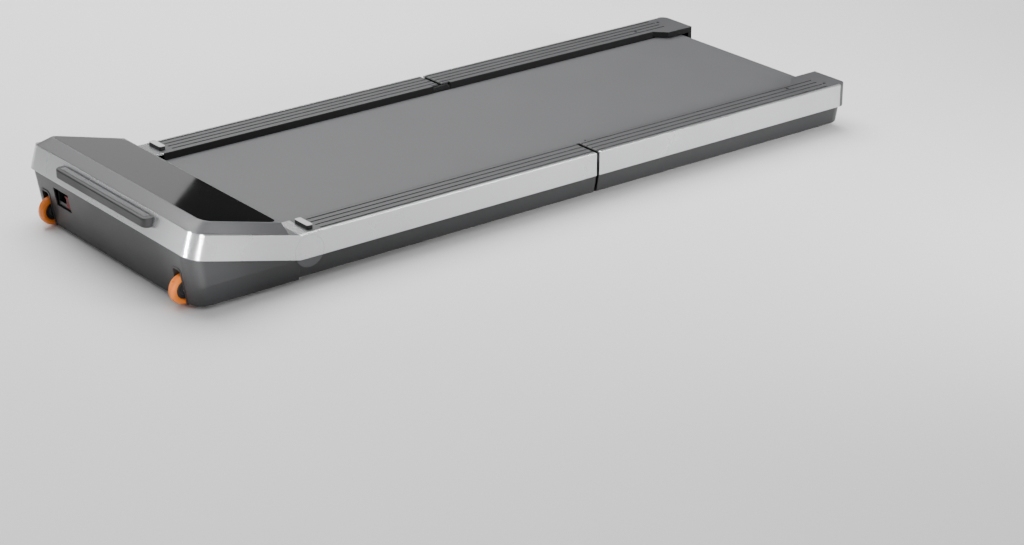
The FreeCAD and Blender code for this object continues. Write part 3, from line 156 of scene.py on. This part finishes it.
def geometry_tree(name, **inputs):
    tree = bpy.data.node_groups.new(name, "GeometryNodeTree")
    tree.interface.new_socket("Geometry", in_out="OUTPUT", socket_type="NodeSocketGeometry")
    tree.interface.new_socket("Geometry", in_out="INPUT", socket_type="NodeSocketGeometry")
    for label, kind in inputs.items():
        tree.interface.new_socket(label, in_out="INPUT", socket_type="NodeSocket" + kind)
    entry = tree.nodes.new("NodeGroupInput")
    return tree, entry.outputs


def closed_tree(tree, instances, *coats):
    whole = add(tree, "GeometryNodeRealizeInstances", {0: instances}).outputs[0]
    for chosen, material in coats:
        coat = {"Geometry": whole, "Selection": chosen, "Material": material}
        whole = add(tree, "GeometryNodeSetMaterial", coat).outputs[0]
    leave = tree.nodes.new("NodeGroupOutput")
    tree.links.new(whole, leave.inputs[0])


def grow(tree, name, body, slot, points=(), **values):
    mesh = bpy.data.meshes.new(name + "_points")
    mesh.from_pydata([tuple(point) for point in points], [], [])
    piece = bpy.data.objects.new(name, mesh)
    bpy.context.scene.collection.objects.link(piece)
    modifier = piece.modifiers.new("grow", "NODES")
    modifier.node_group = tree
    for item in tree.interface.items_tree:
        if item.in_out == "INPUT" and item.name in values:
            modifier[item.identifier] = values[item.name]
    graph = bpy.context.evaluated_depsgraph_get()
    grown = bpy.data.meshes.new_from_object(piece.evaluated_get(graph))
    piece.modifiers.remove(modifier)
    piece.data = grown
    grown.name = name
    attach(piece, body)


head_sides, head_taper, recess_sides, recess_rise = 16, 0.8, 6, 0.572
screw_tree, screw_in = geometry_tree("countersunk_screw", Head_Radius="Float", Head_Height="Float",
                                     Recess_Radius="Float", Turn="Vector", Steel="Material",
                                     Recess="Material")
head_top = worked(screw_tree, "MULTIPLY", screw_in["Head_Radius"], head_taper)
head_part = add(screw_tree, "GeometryNodeMeshCone", {"Vertices": head_sides, "Radius Top": head_top,
                                                     "Radius Bottom": screw_in["Head_Radius"],
                                                     "Depth": screw_in["Head_Height"]})
recess_part = add(screw_tree, "GeometryNodeMeshCylinder", {"Vertices": recess_sides,
                                                           "Radius": screw_in["Recess_Radius"],
                                                           "Depth": screw_in["Head_Height"]})
recess_lift = worked(screw_tree, "MULTIPLY", screw_in["Head_Height"], recess_rise)
recess_place = add(screw_tree, "ShaderNodeCombineXYZ", {"Z": recess_lift})
recess_seated = add(screw_tree, "GeometryNodeTransform", {"Geometry": recess_part.outputs["Mesh"],
                                                          "Translation": recess_place.outputs[0]})
recess_mark = add(screw_tree, "GeometryNodeCaptureAttribute", {0: recess_seated.outputs[0]}, domain="FACE")
recess_mark.capture_items.new("BOOLEAN", "Recess")
recess_mark.inputs["Recess"].default_value = True
one_screw = add(screw_tree, "GeometryNodeJoinGeometry")
screw_tree.links.new(head_part.outputs["Mesh"], one_screw.inputs[0])
screw_tree.links.new(recess_mark.outputs[0], one_screw.inputs[0])
placed = add(screw_tree, "GeometryNodeInstanceOnPoints", {"Points": screw_in["Geometry"],
                                                          "Instance": one_screw.outputs[0],
                                                          "Rotation": screw_in["Turn"]})
closed_tree(screw_tree, placed.outputs[0], (True, screw_in["Steel"]),
            (recess_mark.outputs["Recess"], screw_in["Recess"]))

pivots = {joint["name"]: Vector(joint["pos_m"]) for joint in frame["record"]["behaviour"]["joints"]}
fold_y = (pivots["fold_front"].y + pivots["fold_rear"].y) / 2
base_low = Vector(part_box("rear_base")[0]).z
screw_steps = [0.0172, 0.134, 0.2888, 0.4333]
screw_sides = [0.2357, 0.2243, 0.2243, 0.2243]
under_points = {"front_unit": [], "rear_unit": []}
for side in (-1, 1):
    for step, out in zip(screw_steps, screw_sides):
        under_points["rear_unit"].append((side * out, fold_y + step, base_low))
        under_points["front_unit"].append((side * out, fold_y - step, base_low))
for body, points in under_points.items():
    grow(screw_tree, "base_screws_" + body.split("_")[0], body, "bright_steel", points, Head_Radius=0.0038,
         Head_Height=0.0012, Recess_Radius=0.0015, Turn=(math.pi, 0, 0), Steel=screw_steel, Recess=recess_painted_shade)

# Rubber feet
# Round pads of soft black rubber, a flat ring against the shell with a raised tread, pushed into the lower
# shells. They have the matt, cloudy bloom of moulded rubber.
foot_rubber = surface("foot_rubber", (0.03, 0.03, 0.032), 0.78, cloud=60, shade=0.25, grain=1900,
                      depth=0.00012)
dress(foot_rubber, "feet_front", "feet_rear")

# Transport wheels
# Orange urethane tyres with a round tread, cast on black plastic centres with a dished web and a hub. Each
# wheel turns on a plated steel axle that spans the wheel well under the nose.
urethane = surface("orange_urethane", (0.80, 0.20, 0.02), 0.30, cloud=40, shade=0.06, grain=700,
                   depth=0.00003, soft=0.0005)
wheel_black = surface("wheel_centre", (0.012, 0.012, 0.013), 0.5, cloud=50, shade=0.15, grain=1400,
                      depth=0.00006, edge_wear_and_highlight=0.4)
wheel_radius, wheel_half, tread_round, tread_depth = 0.026, 0.008, 0.007, 0.009
hub_radius, web_dish, axle_bore, moulded_edge = 0.009, 0.003, 0.0042, 0.0006
tread_inner = wheel_radius - tread_depth - 2 * moulded_edge
tread_steps, wheel_steps, wheel_crease = 8, 72, math.radians(40)
wheel_side = [(wheel_half - moulded_edge, axle_bore), (wheel_half, axle_bore + moulded_edge),
              (wheel_half, hub_radius - moulded_edge), (wheel_half - moulded_edge, hub_radius),
              (wheel_half - web_dish, hub_radius + moulded_edge),
              (wheel_half - web_dish, tread_inner - moulded_edge), (wheel_half - web_dish, tread_inner),
              (wheel_half - moulded_edge, wheel_radius - tread_depth - moulded_edge)]
for step in range(tread_steps + 1):
    turn = math.pi / 2 * step / tread_steps
    wheel_side.append((wheel_half - tread_round * (1 - math.cos(turn)),
                       wheel_radius - tread_round * (1 - math.sin(turn))))
wheel_ring = wheel_side + [(-across, radius) for across, radius in reversed(wheel_side)]
for side in ("left", "right"):
    middle = pivots["wheel_%s_spin" % side]
    build = bmesh.new()
    rings = []
    for step in range(wheel_steps):
        angle = math.tau * step / wheel_steps
        rings.append([build.verts.new((middle.x + across, middle.y + radius * math.cos(angle),
                                       middle.z + radius * math.sin(angle)))
                      for across, radius in wheel_ring])
    for step in range(wheel_steps):
        here, after = rings[step - 1], rings[step]
        for corner in range(len(wheel_ring)):
            face = build.faces.new((here[corner - 1], here[corner], after[corner], after[corner - 1]))
            face.smooth = True
            face.material_index = int(min(wheel_ring[corner][1], wheel_ring[corner - 1][1]) < tread_inner)
    bmesh.ops.recalc_face_normals(build, faces=build.faces)
    wheel_mesh = bpy.data.meshes.new("rolling_wheel_" + side)
    build.to_mesh(wheel_mesh)
    build.free()
    wheel_mesh.materials.append(urethane)
    wheel_mesh.materials.append(wheel_black)
    wheel_mesh.set_sharp_from_angle(angle=wheel_crease)
    wheel = bpy.data.objects.new("rolling_wheel_" + side, wheel_mesh)
    bpy.context.scene.collection.objects.link(wheel)
    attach(wheel, "wheel_" + side)
    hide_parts("transport_wheel_" + side)
plated = surface("zinc_plate", (0.58, 0.58, 0.59), 0.3, metal=1.0, cloud=50, shade=0.1, grain=900,
                 depth=0.00003, stretch=(0.15, 1, 1))
dress(plated, "wheel_axles")

# Drive
# A permanent-magnet motor on a flat plate, with turned aluminium pulleys and a ribbed belt back to the front
# roller, and a closed control box beside it.
motor_paint = surface("motor_enamel", (0.03, 0.03, 0.034), 0.32, cloud=20, grain=500, depth=0.00006, edge_wear_and_highlight=0.4)
dress(motor_paint, "motor")
turned_alloy = surface("turned_aluminium", (0.62, 0.62, 0.63), 0.28, metal=1.0, cloud=90, shade=0.12,
                       grain=2400, depth=0.00004, stretch=(1, 0.1, 0.1))
dress(turned_alloy, "drive_pulley", "motor_pulley")
dress(plated, "motor_shaft")
ribbed_rubber = surface("drive_belt_rubber", (0.025, 0.025, 0.026), 0.62, cloud=80, shade=0.2, grain=1600,
                        depth=0.0001)
dress(ribbed_rubber, "drive_belt")
box_plastic = surface("control_box_plastic", (0.03, 0.031, 0.033), 0.5, grain=1300, depth=0.00008, edge_wear_and_highlight=0.3)
dress(box_plastic, "controller")

# Rollers
# Steel tubes with a slight polish from the belt, on ground axles with pressed-in ball bearings. Bolts through
# the tail pull the rear axle back to set the belt's tension.
roller_steel = surface("polished_tube", (0.52, 0.52, 0.53), 0.34, metal=1.0, cloud=30, shade=0.1, grain=1500,
                       depth=0.00004, stretch=(6, 1, 1))
dress(roller_steel, "front_roller", "rear_roller")
dress(plated, "front_roller_axle", "rear_roller_axle", "adjuster_bolts", "front_roller_bearings",
      "rear_roller_bearings")

# Deck boards
# Waxed fibreboard under the belt, laid on soft rubber blocks along the chassis so that the deck gives a
# little under each step.
fibreboard = surface("waxed_fibreboard", (0.17, 0.115, 0.07), 0.4, cloud=35, shade=0.3, grain=700,
                     depth=0.00008, stretch=(1, 0.12, 1))
dress(fibreboard, "deck_board_front", "deck_board_rear")
cushion_rubber = surface("cushion_rubber", (0.035, 0.035, 0.037), 0.8, cloud=70, shade=0.25, grain=1700,
                         depth=0.00012)
dress(cushion_rubber, "deck_cushions_front", "deck_cushions_rear")

# Walking belt
# One endless belt of grey polymer on a woven backing, with a fine pebbled face. It runs over both rollers and
# bends over the hinge links when the rear deck folds, so here it is two lengths that meet on the links.
belt_thick, belt_edge, belt_crease = 0.0018, 0.0004, math.radians(30)
belt_fine_rows, belt_fine_reach, belt_rows, arc_rows = 0.001, 0.03, 0.02, 18
belt_rough = (0.52, 0.60)
belt_skin = bpy.data.materials.new("walking_belt_face")
belt_skin.use_nodes = True
belt_nodes = belt_skin.node_tree
belt_face = belt_nodes.nodes["Principled BSDF"]
belt_map = add(belt_nodes, "ShaderNodeTexCoord").outputs["UV"]
belt_cloud = add(belt_nodes, "ShaderNodeTexNoise", {"Vector": belt_map, "Scale": 9.0, "Detail": 6.0})
belt_pebble = add(belt_nodes, "ShaderNodeTexVoronoi", {"Vector": belt_map, "Scale": 620.0})
belt_fibre = add(belt_nodes, "ShaderNodeTexNoise", {"Vector": belt_map, "Scale": 1800.0, "Detail": 2.0})
belt_tone = ramped(belt_nodes, belt_cloud.outputs["Fac"], (0.086, 0.0873, 0.091), (0.091, 0.0923, 0.096))
belt_speck = ramped(belt_nodes, belt_fibre.outputs["Fac"], (0.90, 0.90, 0.90), (1.0, 1.0, 1.0))
belt_colour = add(belt_nodes, "ShaderNodeMix", {"Factor": 1.0, "A": belt_tone, "B": belt_speck},
                  data_type="RGBA", blend_type="MULTIPLY")
belt_nodes.links.new(belt_colour.outputs["Result"], belt_face.inputs["Base Color"])
belt_gloss = ranged(belt_nodes, belt_cloud.outputs["Fac"], 0.0, 1.0, *belt_rough)
belt_nodes.links.new(belt_gloss, belt_face.inputs["Roughness"])
belt_bump = add(belt_nodes, "ShaderNodeBump", {"Height": belt_pebble.outputs["Distance"], "Strength": 0.35,
                                               "Distance": 0.00025})
belt_nodes.links.new(belt_bump.outputs["Normal"], belt_face.inputs["Normal"])


def belt_stations(start, middle, lift, radius):
    way = 1 if start < middle else -1
    stations = []
    place = middle
    while (place - start) * way > 0:
        stations.append(place)
        place -= way * (belt_fine_rows if abs(place - middle) < belt_fine_reach else belt_rows)
    top = [(place, lift + radius, 0.0, 1.0) for place in stations]
    turn = []
    for step in range(arc_rows + 1):
        angle = math.pi / 2 + math.pi * step / arc_rows
        turn.append((start + way * radius * math.cos(angle), lift + radius * math.sin(angle),
                     way * math.cos(angle), math.sin(angle)))
    under = [(place, lift - radius, 0.0, -1.0) for place in reversed(stations)]
    return top + turn + under


def belt_length(name, start, middle, half, lift, radius):
    stations = belt_stations(start, middle, lift, radius)
    section = [(-half, -belt_edge), (-half + belt_edge, 0), (half - belt_edge, 0), (half, -belt_edge),
               (half, -belt_thick + belt_edge), (half - belt_edge, -belt_thick),
               (belt_edge - half, -belt_thick), (-half, belt_edge - belt_thick)]
    build = bmesh.new()
    laid = build.loops.layers.uv.new("along_belt")
    rings = []
    run = 0.0
    lengths = []
    for index, (y, z, out_y, out_z) in enumerate(stations):
        if index:
            run += math.dist((y, z), stations[index - 1][:2])
        lengths.append(run)
        rings.append([build.verts.new((x, y + out_y * depth, z + out_z * depth)) for x, depth in section])
    count = len(section)
    for index in range(len(rings) - 1):
        for corner in range(count):
            after = (corner + 1) % count
            face = build.faces.new((rings[index][corner], rings[index][after], rings[index + 1][after],
                                    rings[index + 1][corner]))
            face.smooth = True
            for loop, row in zip(face.loops, (index, index, index + 1, index + 1)):
                loop[laid].uv = (loop.vert.co.x, lengths[row])
    build.faces.new(rings[0])
    build.faces.new(rings[-1])
    bmesh.ops.recalc_face_normals(build, faces=build.faces)
    mesh = bpy.data.meshes.new(name)
    build.to_mesh(mesh)
    build.free()
    mesh.materials.append(belt_skin)
    mesh.set_sharp_from_angle(angle=belt_crease)
    piece = bpy.data.objects.new(name, mesh)
    bpy.context.scene.collection.objects.link(piece)
    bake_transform(piece)
    return piece


belt_low, belt_high = [Vector(corner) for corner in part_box("belt_front")]
tail_high = Vector(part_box("belt_rear")[1])
belt_radius = (belt_high.z - belt_low.z) / 2
belt_lift = (belt_high.z + belt_low.z) / 2
front_belt = belt_length("walking_belt_front", belt_low.y + belt_radius, fold_y, belt_high.x, belt_lift,
                         belt_radius)
rear_belt = belt_length("walking_belt_rear", tail_high.y - belt_radius, fold_y, belt_high.x, belt_lift,
                        belt_radius)
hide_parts("belt_front")
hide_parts("belt_rear")

# Fold hinge
# Blanked steel links, one each side, pinned to a bracket on either deck so that the rear deck swings up and
# over. Links and pins have a black oxide finish, painted lighter at the edges, partly as wear and partly as a
# painted highlight.
link_plate = surface("hinge_black_oxide", (0.014, 0.014, 0.015), 0.38, metal=0.6, cloud=45, shade=0.2,
                     grain=1100, depth=0.00004, edge_wear_and_highlight=0.5, stretch=(1, 1, 0.2))
dress(link_plate, "hinge_link_left", "hinge_link_right", "hinge_pins_front", "hinge_pins_rear")

# Foot rails
# Moulded dark grey steps along both sides of the belt, with four grip grooves from end to end whose floors
# are painted near black as shade, and an inner wall beside the belt painted black, partly black plastic and
# partly painted shade. Screws near the tail hold the rear pair down.
rail_low, rail_high = [Vector(corner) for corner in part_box("rail_front_right")]
tail_end = Vector(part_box("rail_rear_right")[1]).y
groove_stand_in, groove_pitch, groove_half, groove_fade = 0.01275, 0.014, 0.0019, 0.0002
wall_fade, top_fade, wall_dulling = (0.0016, 0.0008), (0.0004, 0.0010), 0.5
groove_painted_shade, wall_black_and_painted_shade = (0.018, 0.018, 0.019), (0.008, 0.008, 0.009)
rail_skin = surface("rail_moulding", (0.058, 0.0588, 0.0615), 0.52, cloud=9, shade=0.05, grain=1500,
                    depth=0.0001, soft=0.0012, edge_wear_and_highlight=0.25)
rail_nodes = rail_skin.node_tree
rail_place = add(rail_nodes, "ShaderNodeTexCoord").outputs["Object"]
rail_axes = add(rail_nodes, "ShaderNodeSeparateXYZ", {0: rail_place}).outputs
rail_out = worked(rail_nodes, "ABSOLUTE", rail_axes["X"])
inner_side = ranged(rail_nodes, rail_out, *[rail_low.x + reach for reach in wall_fade])
below_top = ranged(rail_nodes, rail_axes["Z"], *[rail_high.z - drop for drop in top_fade])
inner_wall = worked(rail_nodes, "MULTIPLY", inner_side, below_top)
from_first = worked(rail_nodes, "SUBTRACT", rail_out, rail_low.x + groove_stand_in)
from_groove = worked(rail_nodes, "PINGPONG", from_first, groove_pitch / 2)
in_groove = ranged(rail_nodes, from_groove, groove_half + groove_fade, groove_half)
# Groove floors are painted near black: painted shade down in the grooves.
painted(rail_skin, worked(rail_nodes, "MULTIPLY", in_groove, below_top), groove_painted_shade)
# The inner wall is painted black: partly black plastic, partly painted shade beside the belt.
painted(rail_skin, inner_wall, wall_black_and_painted_shade)
rail_gloss = rail_nodes.nodes["Principled BSDF"].inputs["Roughness"]
dull_wall = worked(rail_nodes, "MULTIPLY_ADD", inner_wall, wall_dulling, rail_gloss.links[0].from_socket)
rail_nodes.links.new(dull_wall, rail_gloss)
dress(rail_skin, "rail_front_left", "rail_front_right", "rail_rear_left", "rail_rear_right")
rail_screws = ((0.2187, 0.112), (0.239, 0.0363))
rail_screw_points = [(side * out, tail_end - back, rail_high.z) for side in (-1, 1)
                     for out, back in rail_screws]
grow(screw_tree, "rail_screws_rear", "rear_unit", "bright_steel", rail_screw_points, Head_Radius=0.0032,
     Head_Height=0.0008, Recess_Radius=0.0013, Turn=(0, 0, 0), Steel=screw_steel, Recess=recess_painted_shade)

# Satin trim
# A silver band of satin-anodised extrusion that wraps the nose, flares over the shell and runs along both
# sides. It is cut at the fold, and a fine darker grey ring is painted on it where the hub disc's rim passes
# behind.
satin = surface("satin_silver", (0.52, 0.525, 0.535), 0.27, metal=0.8, cloud=6, shade=0.03, grain=2600,
                depth=0.00003, soft=0.0010)
satin_nodes = satin.node_tree
ring_radius, ring_half, ring_setback, ring_darkness = 0.028, 0.0003, 0.018, 0.5
ring_grey = (0.25, 0.25, 0.26)
ring_y = Vector(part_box("side_trim_front_right")[0]).y + ring_setback
ring_z = Vector(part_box("hub_discs")[0]).z + ring_radius
satin_place = add(satin_nodes, "ShaderNodeTexCoord").outputs["Object"]
flat_place = add(satin_nodes, "ShaderNodeVectorMath", {0: satin_place, 1: (0, 1, 1)}, operation="MULTIPLY")
from_hub = add(satin_nodes, "ShaderNodeVectorMath", {0: flat_place.outputs["Vector"], 1: (0, ring_y, ring_z)},
               operation="DISTANCE")
off_ring = worked(satin_nodes, "SUBTRACT", from_hub.outputs["Value"], ring_radius)
ring_gap = worked(satin_nodes, "ABSOLUTE", off_ring)
ring_line = ranged(satin_nodes, ring_gap, 2 * ring_half, ring_half, high=ring_darkness)
painted(satin, ring_line, ring_grey)
dress(satin, "head_trim", "side_trim_front_left", "side_trim_front_right", "side_trim_rear_left",
      "side_trim_rear_right")

# Hub discs and bumpers
# Moulded discs, a little lighter than the shell, show below the kink of the band. Two soft stops on the rails
# keep the folded deck off the head, each with a pale wearing face over black sides.
hub_skin = surface("hub_moulding", (0.055, 0.056, 0.059), 0.42, cloud=20, shade=0.06, grain=1500,
                   depth=0.00008, soft=0.0008, edge_wear_and_highlight=0.4)
dress(hub_skin, "hub_discs")
bumper_skin = surface("bumper_face", (0.50, 0.505, 0.515), 0.6, cloud=50, shade=0.06, grain=1500,
                      depth=0.0001)
bumper_nodes = bumper_skin.node_tree
bumper_top = Vector(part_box("rail_bumpers")[1]).z
bumper_black = (0.012, 0.012, 0.013)
bumper_place = add(bumper_nodes, "ShaderNodeTexCoord").outputs["Object"]
bumper_axes = add(bumper_nodes, "ShaderNodeSeparateXYZ", {0: bumper_place}).outputs
bumper_side = ranged(bumper_nodes, bumper_axes["Z"], *[bumper_top - drop for drop in top_fade])
painted(bumper_skin, bumper_side, bumper_black)
dress(bumper_skin, "rail_bumpers")

# Head cover and display
# A grey moulded hood with a broad bevel, and a polished black acrylic panel let into its crown. The circuit
# board with the display lies under the panel.
# The hood's edges get the strongest lightening of all: a painted highlight line along the rim and bevel
# edges.
cover_skin = surface("hood_moulding", (0.100, 0.1013, 0.105), 0.42, cloud=7, shade=0.05, grain=1500,
                     depth=0.00007, soft=0.0012, edge_wear_and_highlight=0.8)
dress(cover_skin, "head_cover")
acrylic = surface("polished_acrylic", (0.004, 0.004, 0.0045), 0.035, cloud=5, shade=0.2, grain=300,
                  depth=0.000002, soft=0.0008, spread=0.015)
dress(acrylic, "display_panel")
circuit = surface("circuit_board", (0.02, 0.11, 0.05), 0.45, cloud=160, shade=0.4, grain=900, depth=0.0001)
dress(circuit, "display_board")

# Front bar
# A rounded bar moulded in dark grey across the nose band, on which the pad stands when it is tipped upright
# for storage. Fine ribs across its top keep it from slipping.
bar_skin = surface("bar_moulding", (0.026, 0.0264, 0.0276), 0.48, cloud=12, shade=0.06, grain=1500,
                   depth=0.00008, soft=0.0012, edge_wear_and_highlight=0.3)
dress(bar_skin, "front_bar")
# The ribs are coloured far lighter than the dark grey bar: a painted highlight for the bar's top catching the
# overhead light.
rib_painted_highlight = surface("bar_rib_painted_highlight", (0.24, 0.243, 0.25), 0.4, cloud=40, shade=0.08, grain=1800,
                   depth=0.00004, soft=0.0003)
rib_sides, rib_turn = 8, (math.pi / 2, 0, 0)
rib_tree, rib_in = geometry_tree("bar_ribs", Ribs="Int", Rib_Radius="Float", Rib_Length="Float",
                                 First="Vector", Step="Vector", Skin="Material")
rib_line = add(rib_tree, "GeometryNodeMeshLine", {"Count": rib_in["Ribs"], "Start Location": rib_in["First"],
                                                  "Offset": rib_in["Step"]})
rib_rod = add(rib_tree, "GeometryNodeMeshCylinder", {"Vertices": rib_sides, "Radius": rib_in["Rib_Radius"],
                                                     "Depth": rib_in["Rib_Length"]})
rib_laid = add(rib_tree, "GeometryNodeTransform", {"Geometry": rib_rod.outputs["Mesh"], "Rotation": rib_turn})
rib_row = add(rib_tree, "GeometryNodeInstanceOnPoints", {"Points": rib_line.outputs["Mesh"],
                                                         "Instance": rib_laid.outputs[0]})
closed_tree(rib_tree, rib_row.outputs[0], (True, rib_in["Skin"]))
bar_low, bar_high = [Vector(corner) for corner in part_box("front_bar")]
rib_pitch, rib_radius, rib_length, rib_stand_in, rib_setback = 0.0034, 0.001, 0.0095, 0.013, 0.0118
rib_count = int((bar_high.x - bar_low.x - 2 * rib_stand_in) / rib_pitch)
grow(rib_tree, "front_bar_ribs", "front_unit", "cover", Ribs=rib_count, Rib_Radius=rib_radius,
     Rib_Length=rib_length, First=(-rib_pitch * (rib_count - 1) / 2, bar_low.y + rib_setback, bar_high.z),
     Step=(rib_pitch, 0, 0), Skin=rib_painted_highlight)

# Power inlet and rocker
# A black plastic housing with the three-pin mains inlet, moulded in one piece and set back into the nose.
# Beside the inlet a dark red mains rocker tilts on its pin.
inlet_plastic = surface("inlet_plastic", (0.012, 0.012, 0.013), 0.4, cloud=30, grain=1300, depth=0.00006,
                        edge_wear_and_highlight=0.5)
dress(inlet_plastic, "power_inlet")
rocker_red = surface("rocker_red", (0.15, 0.002, 0.006), 0.62, cloud=60, shade=0.08, grain=900, depth=0.00003)
dress(rocker_red, "power_rocker")

# Studio
# A pale seamless floor under one broad overhead light. A dim light in front, two narrow strips, a side beam
# and a card give the nose, the band's corner, the tail and the display the highlights of the photo.
floor_half = 9
floor_corners = [(-floor_half, -floor_half, 0), (floor_half, -floor_half, 0), (floor_half, floor_half, 0),
                 (-floor_half, floor_half, 0)]
floor_mesh = bpy.data.meshes.new("studio_floor")
floor_mesh.from_pydata(floor_corners, [], [(0, 1, 2, 3)])
floor = bpy.data.objects.new("studio_floor", floor_mesh)
bpy.context.scene.collection.objects.link(floor)
floor_mesh.materials.append(surface("pale_paper", (0.93, 0.93, 0.93), 0.8, cloud=1.5, shade=0.01, grain=400,
                                    depth=0.0001, soft=0.001))


def softbox(name, place, target, size, power, spread=180, roll=0):
    data = bpy.data.lights.new(name, "AREA")
    data.spread = math.radians(spread)
    data.shape = "RECTANGLE"
    data.size, data.size_y = size
    data.energy = power
    lamp = bpy.data.objects.new(name, data)
    lamp.location = place
    aim = (Vector(target) - Vector(place)).to_track_quat("-Z", "Y")
    lamp.rotation_euler = (aim @ Quaternion((0, 0, 1), math.radians(roll))).to_euler()
    bpy.context.scene.collection.objects.link(lamp)


softbox("overhead_softbox", (-1.4, 0.2, 2.9), (0, 0, 0), (3.2, 3.2), 175)
softbox("nose_softbox", (0.4, -3.4, 1.4), (0, -0.7, 0.12), (1.6, 1.0), 5)
softbox("near_corner_strip", (2.1, -1.3, 0.09), (0.28, -0.68, 0.09), (0.08, 0.09), 0.11, spread=6)
softbox("nose_corner_strip", (-0.25, -2.9, 0.11), (0.25, -0.72, 0.12), (0.08, 0.09), 0.12, spread=5)
softbox("tail_side_beam", (2.2, 1.1, 0.6), (0.26, 0.45, 0.05), (0.8, 0.5), 7, spread=60)
softbox("panel_card", (-2.2, 0.48, 0.175), (0, 0.48, 0.175), (1.2, 1.0), 2.6, roll=-19.8)
world = bpy.data.worlds.new("studio_air")
bpy.context.scene.world = world
world.use_nodes = True
air = world.node_tree
air_way = add(air, "ShaderNodeSeparateXYZ", {0: add(air, "ShaderNodeTexCoord").outputs["Generated"]})
dark_below, bright_above, dim_air, bright_air = 0.14, 0.8, 0.035, 0.6
air_rise = ranged(air, air_way.outputs["Z"], dark_below, bright_above, dim_air, bright_air)
air.links.new(air_rise, air.nodes["Background"].inputs["Strength"])
air.nodes["Background"].inputs["Color"].default_value = (1, 1, 1, 1)

view = bpy.data.cameras.new("photo_camera")
view.sensor_fit = "HORIZONTAL"
view.sensor_width = 36.0
view.lens = 90.75
view.clip_end = 60.0
view_way = Vector((-0.7256, 0.5648, -0.393))
camera = bpy.data.objects.new("photo_camera", view)
camera.location = (3.5176, -2.6062, 1.6715)
camera.rotation_euler = view_way.to_track_quat("-Z", "Y").to_euler()
bpy.context.scene.collection.objects.link(camera)
bpy.context.scene.camera = camera
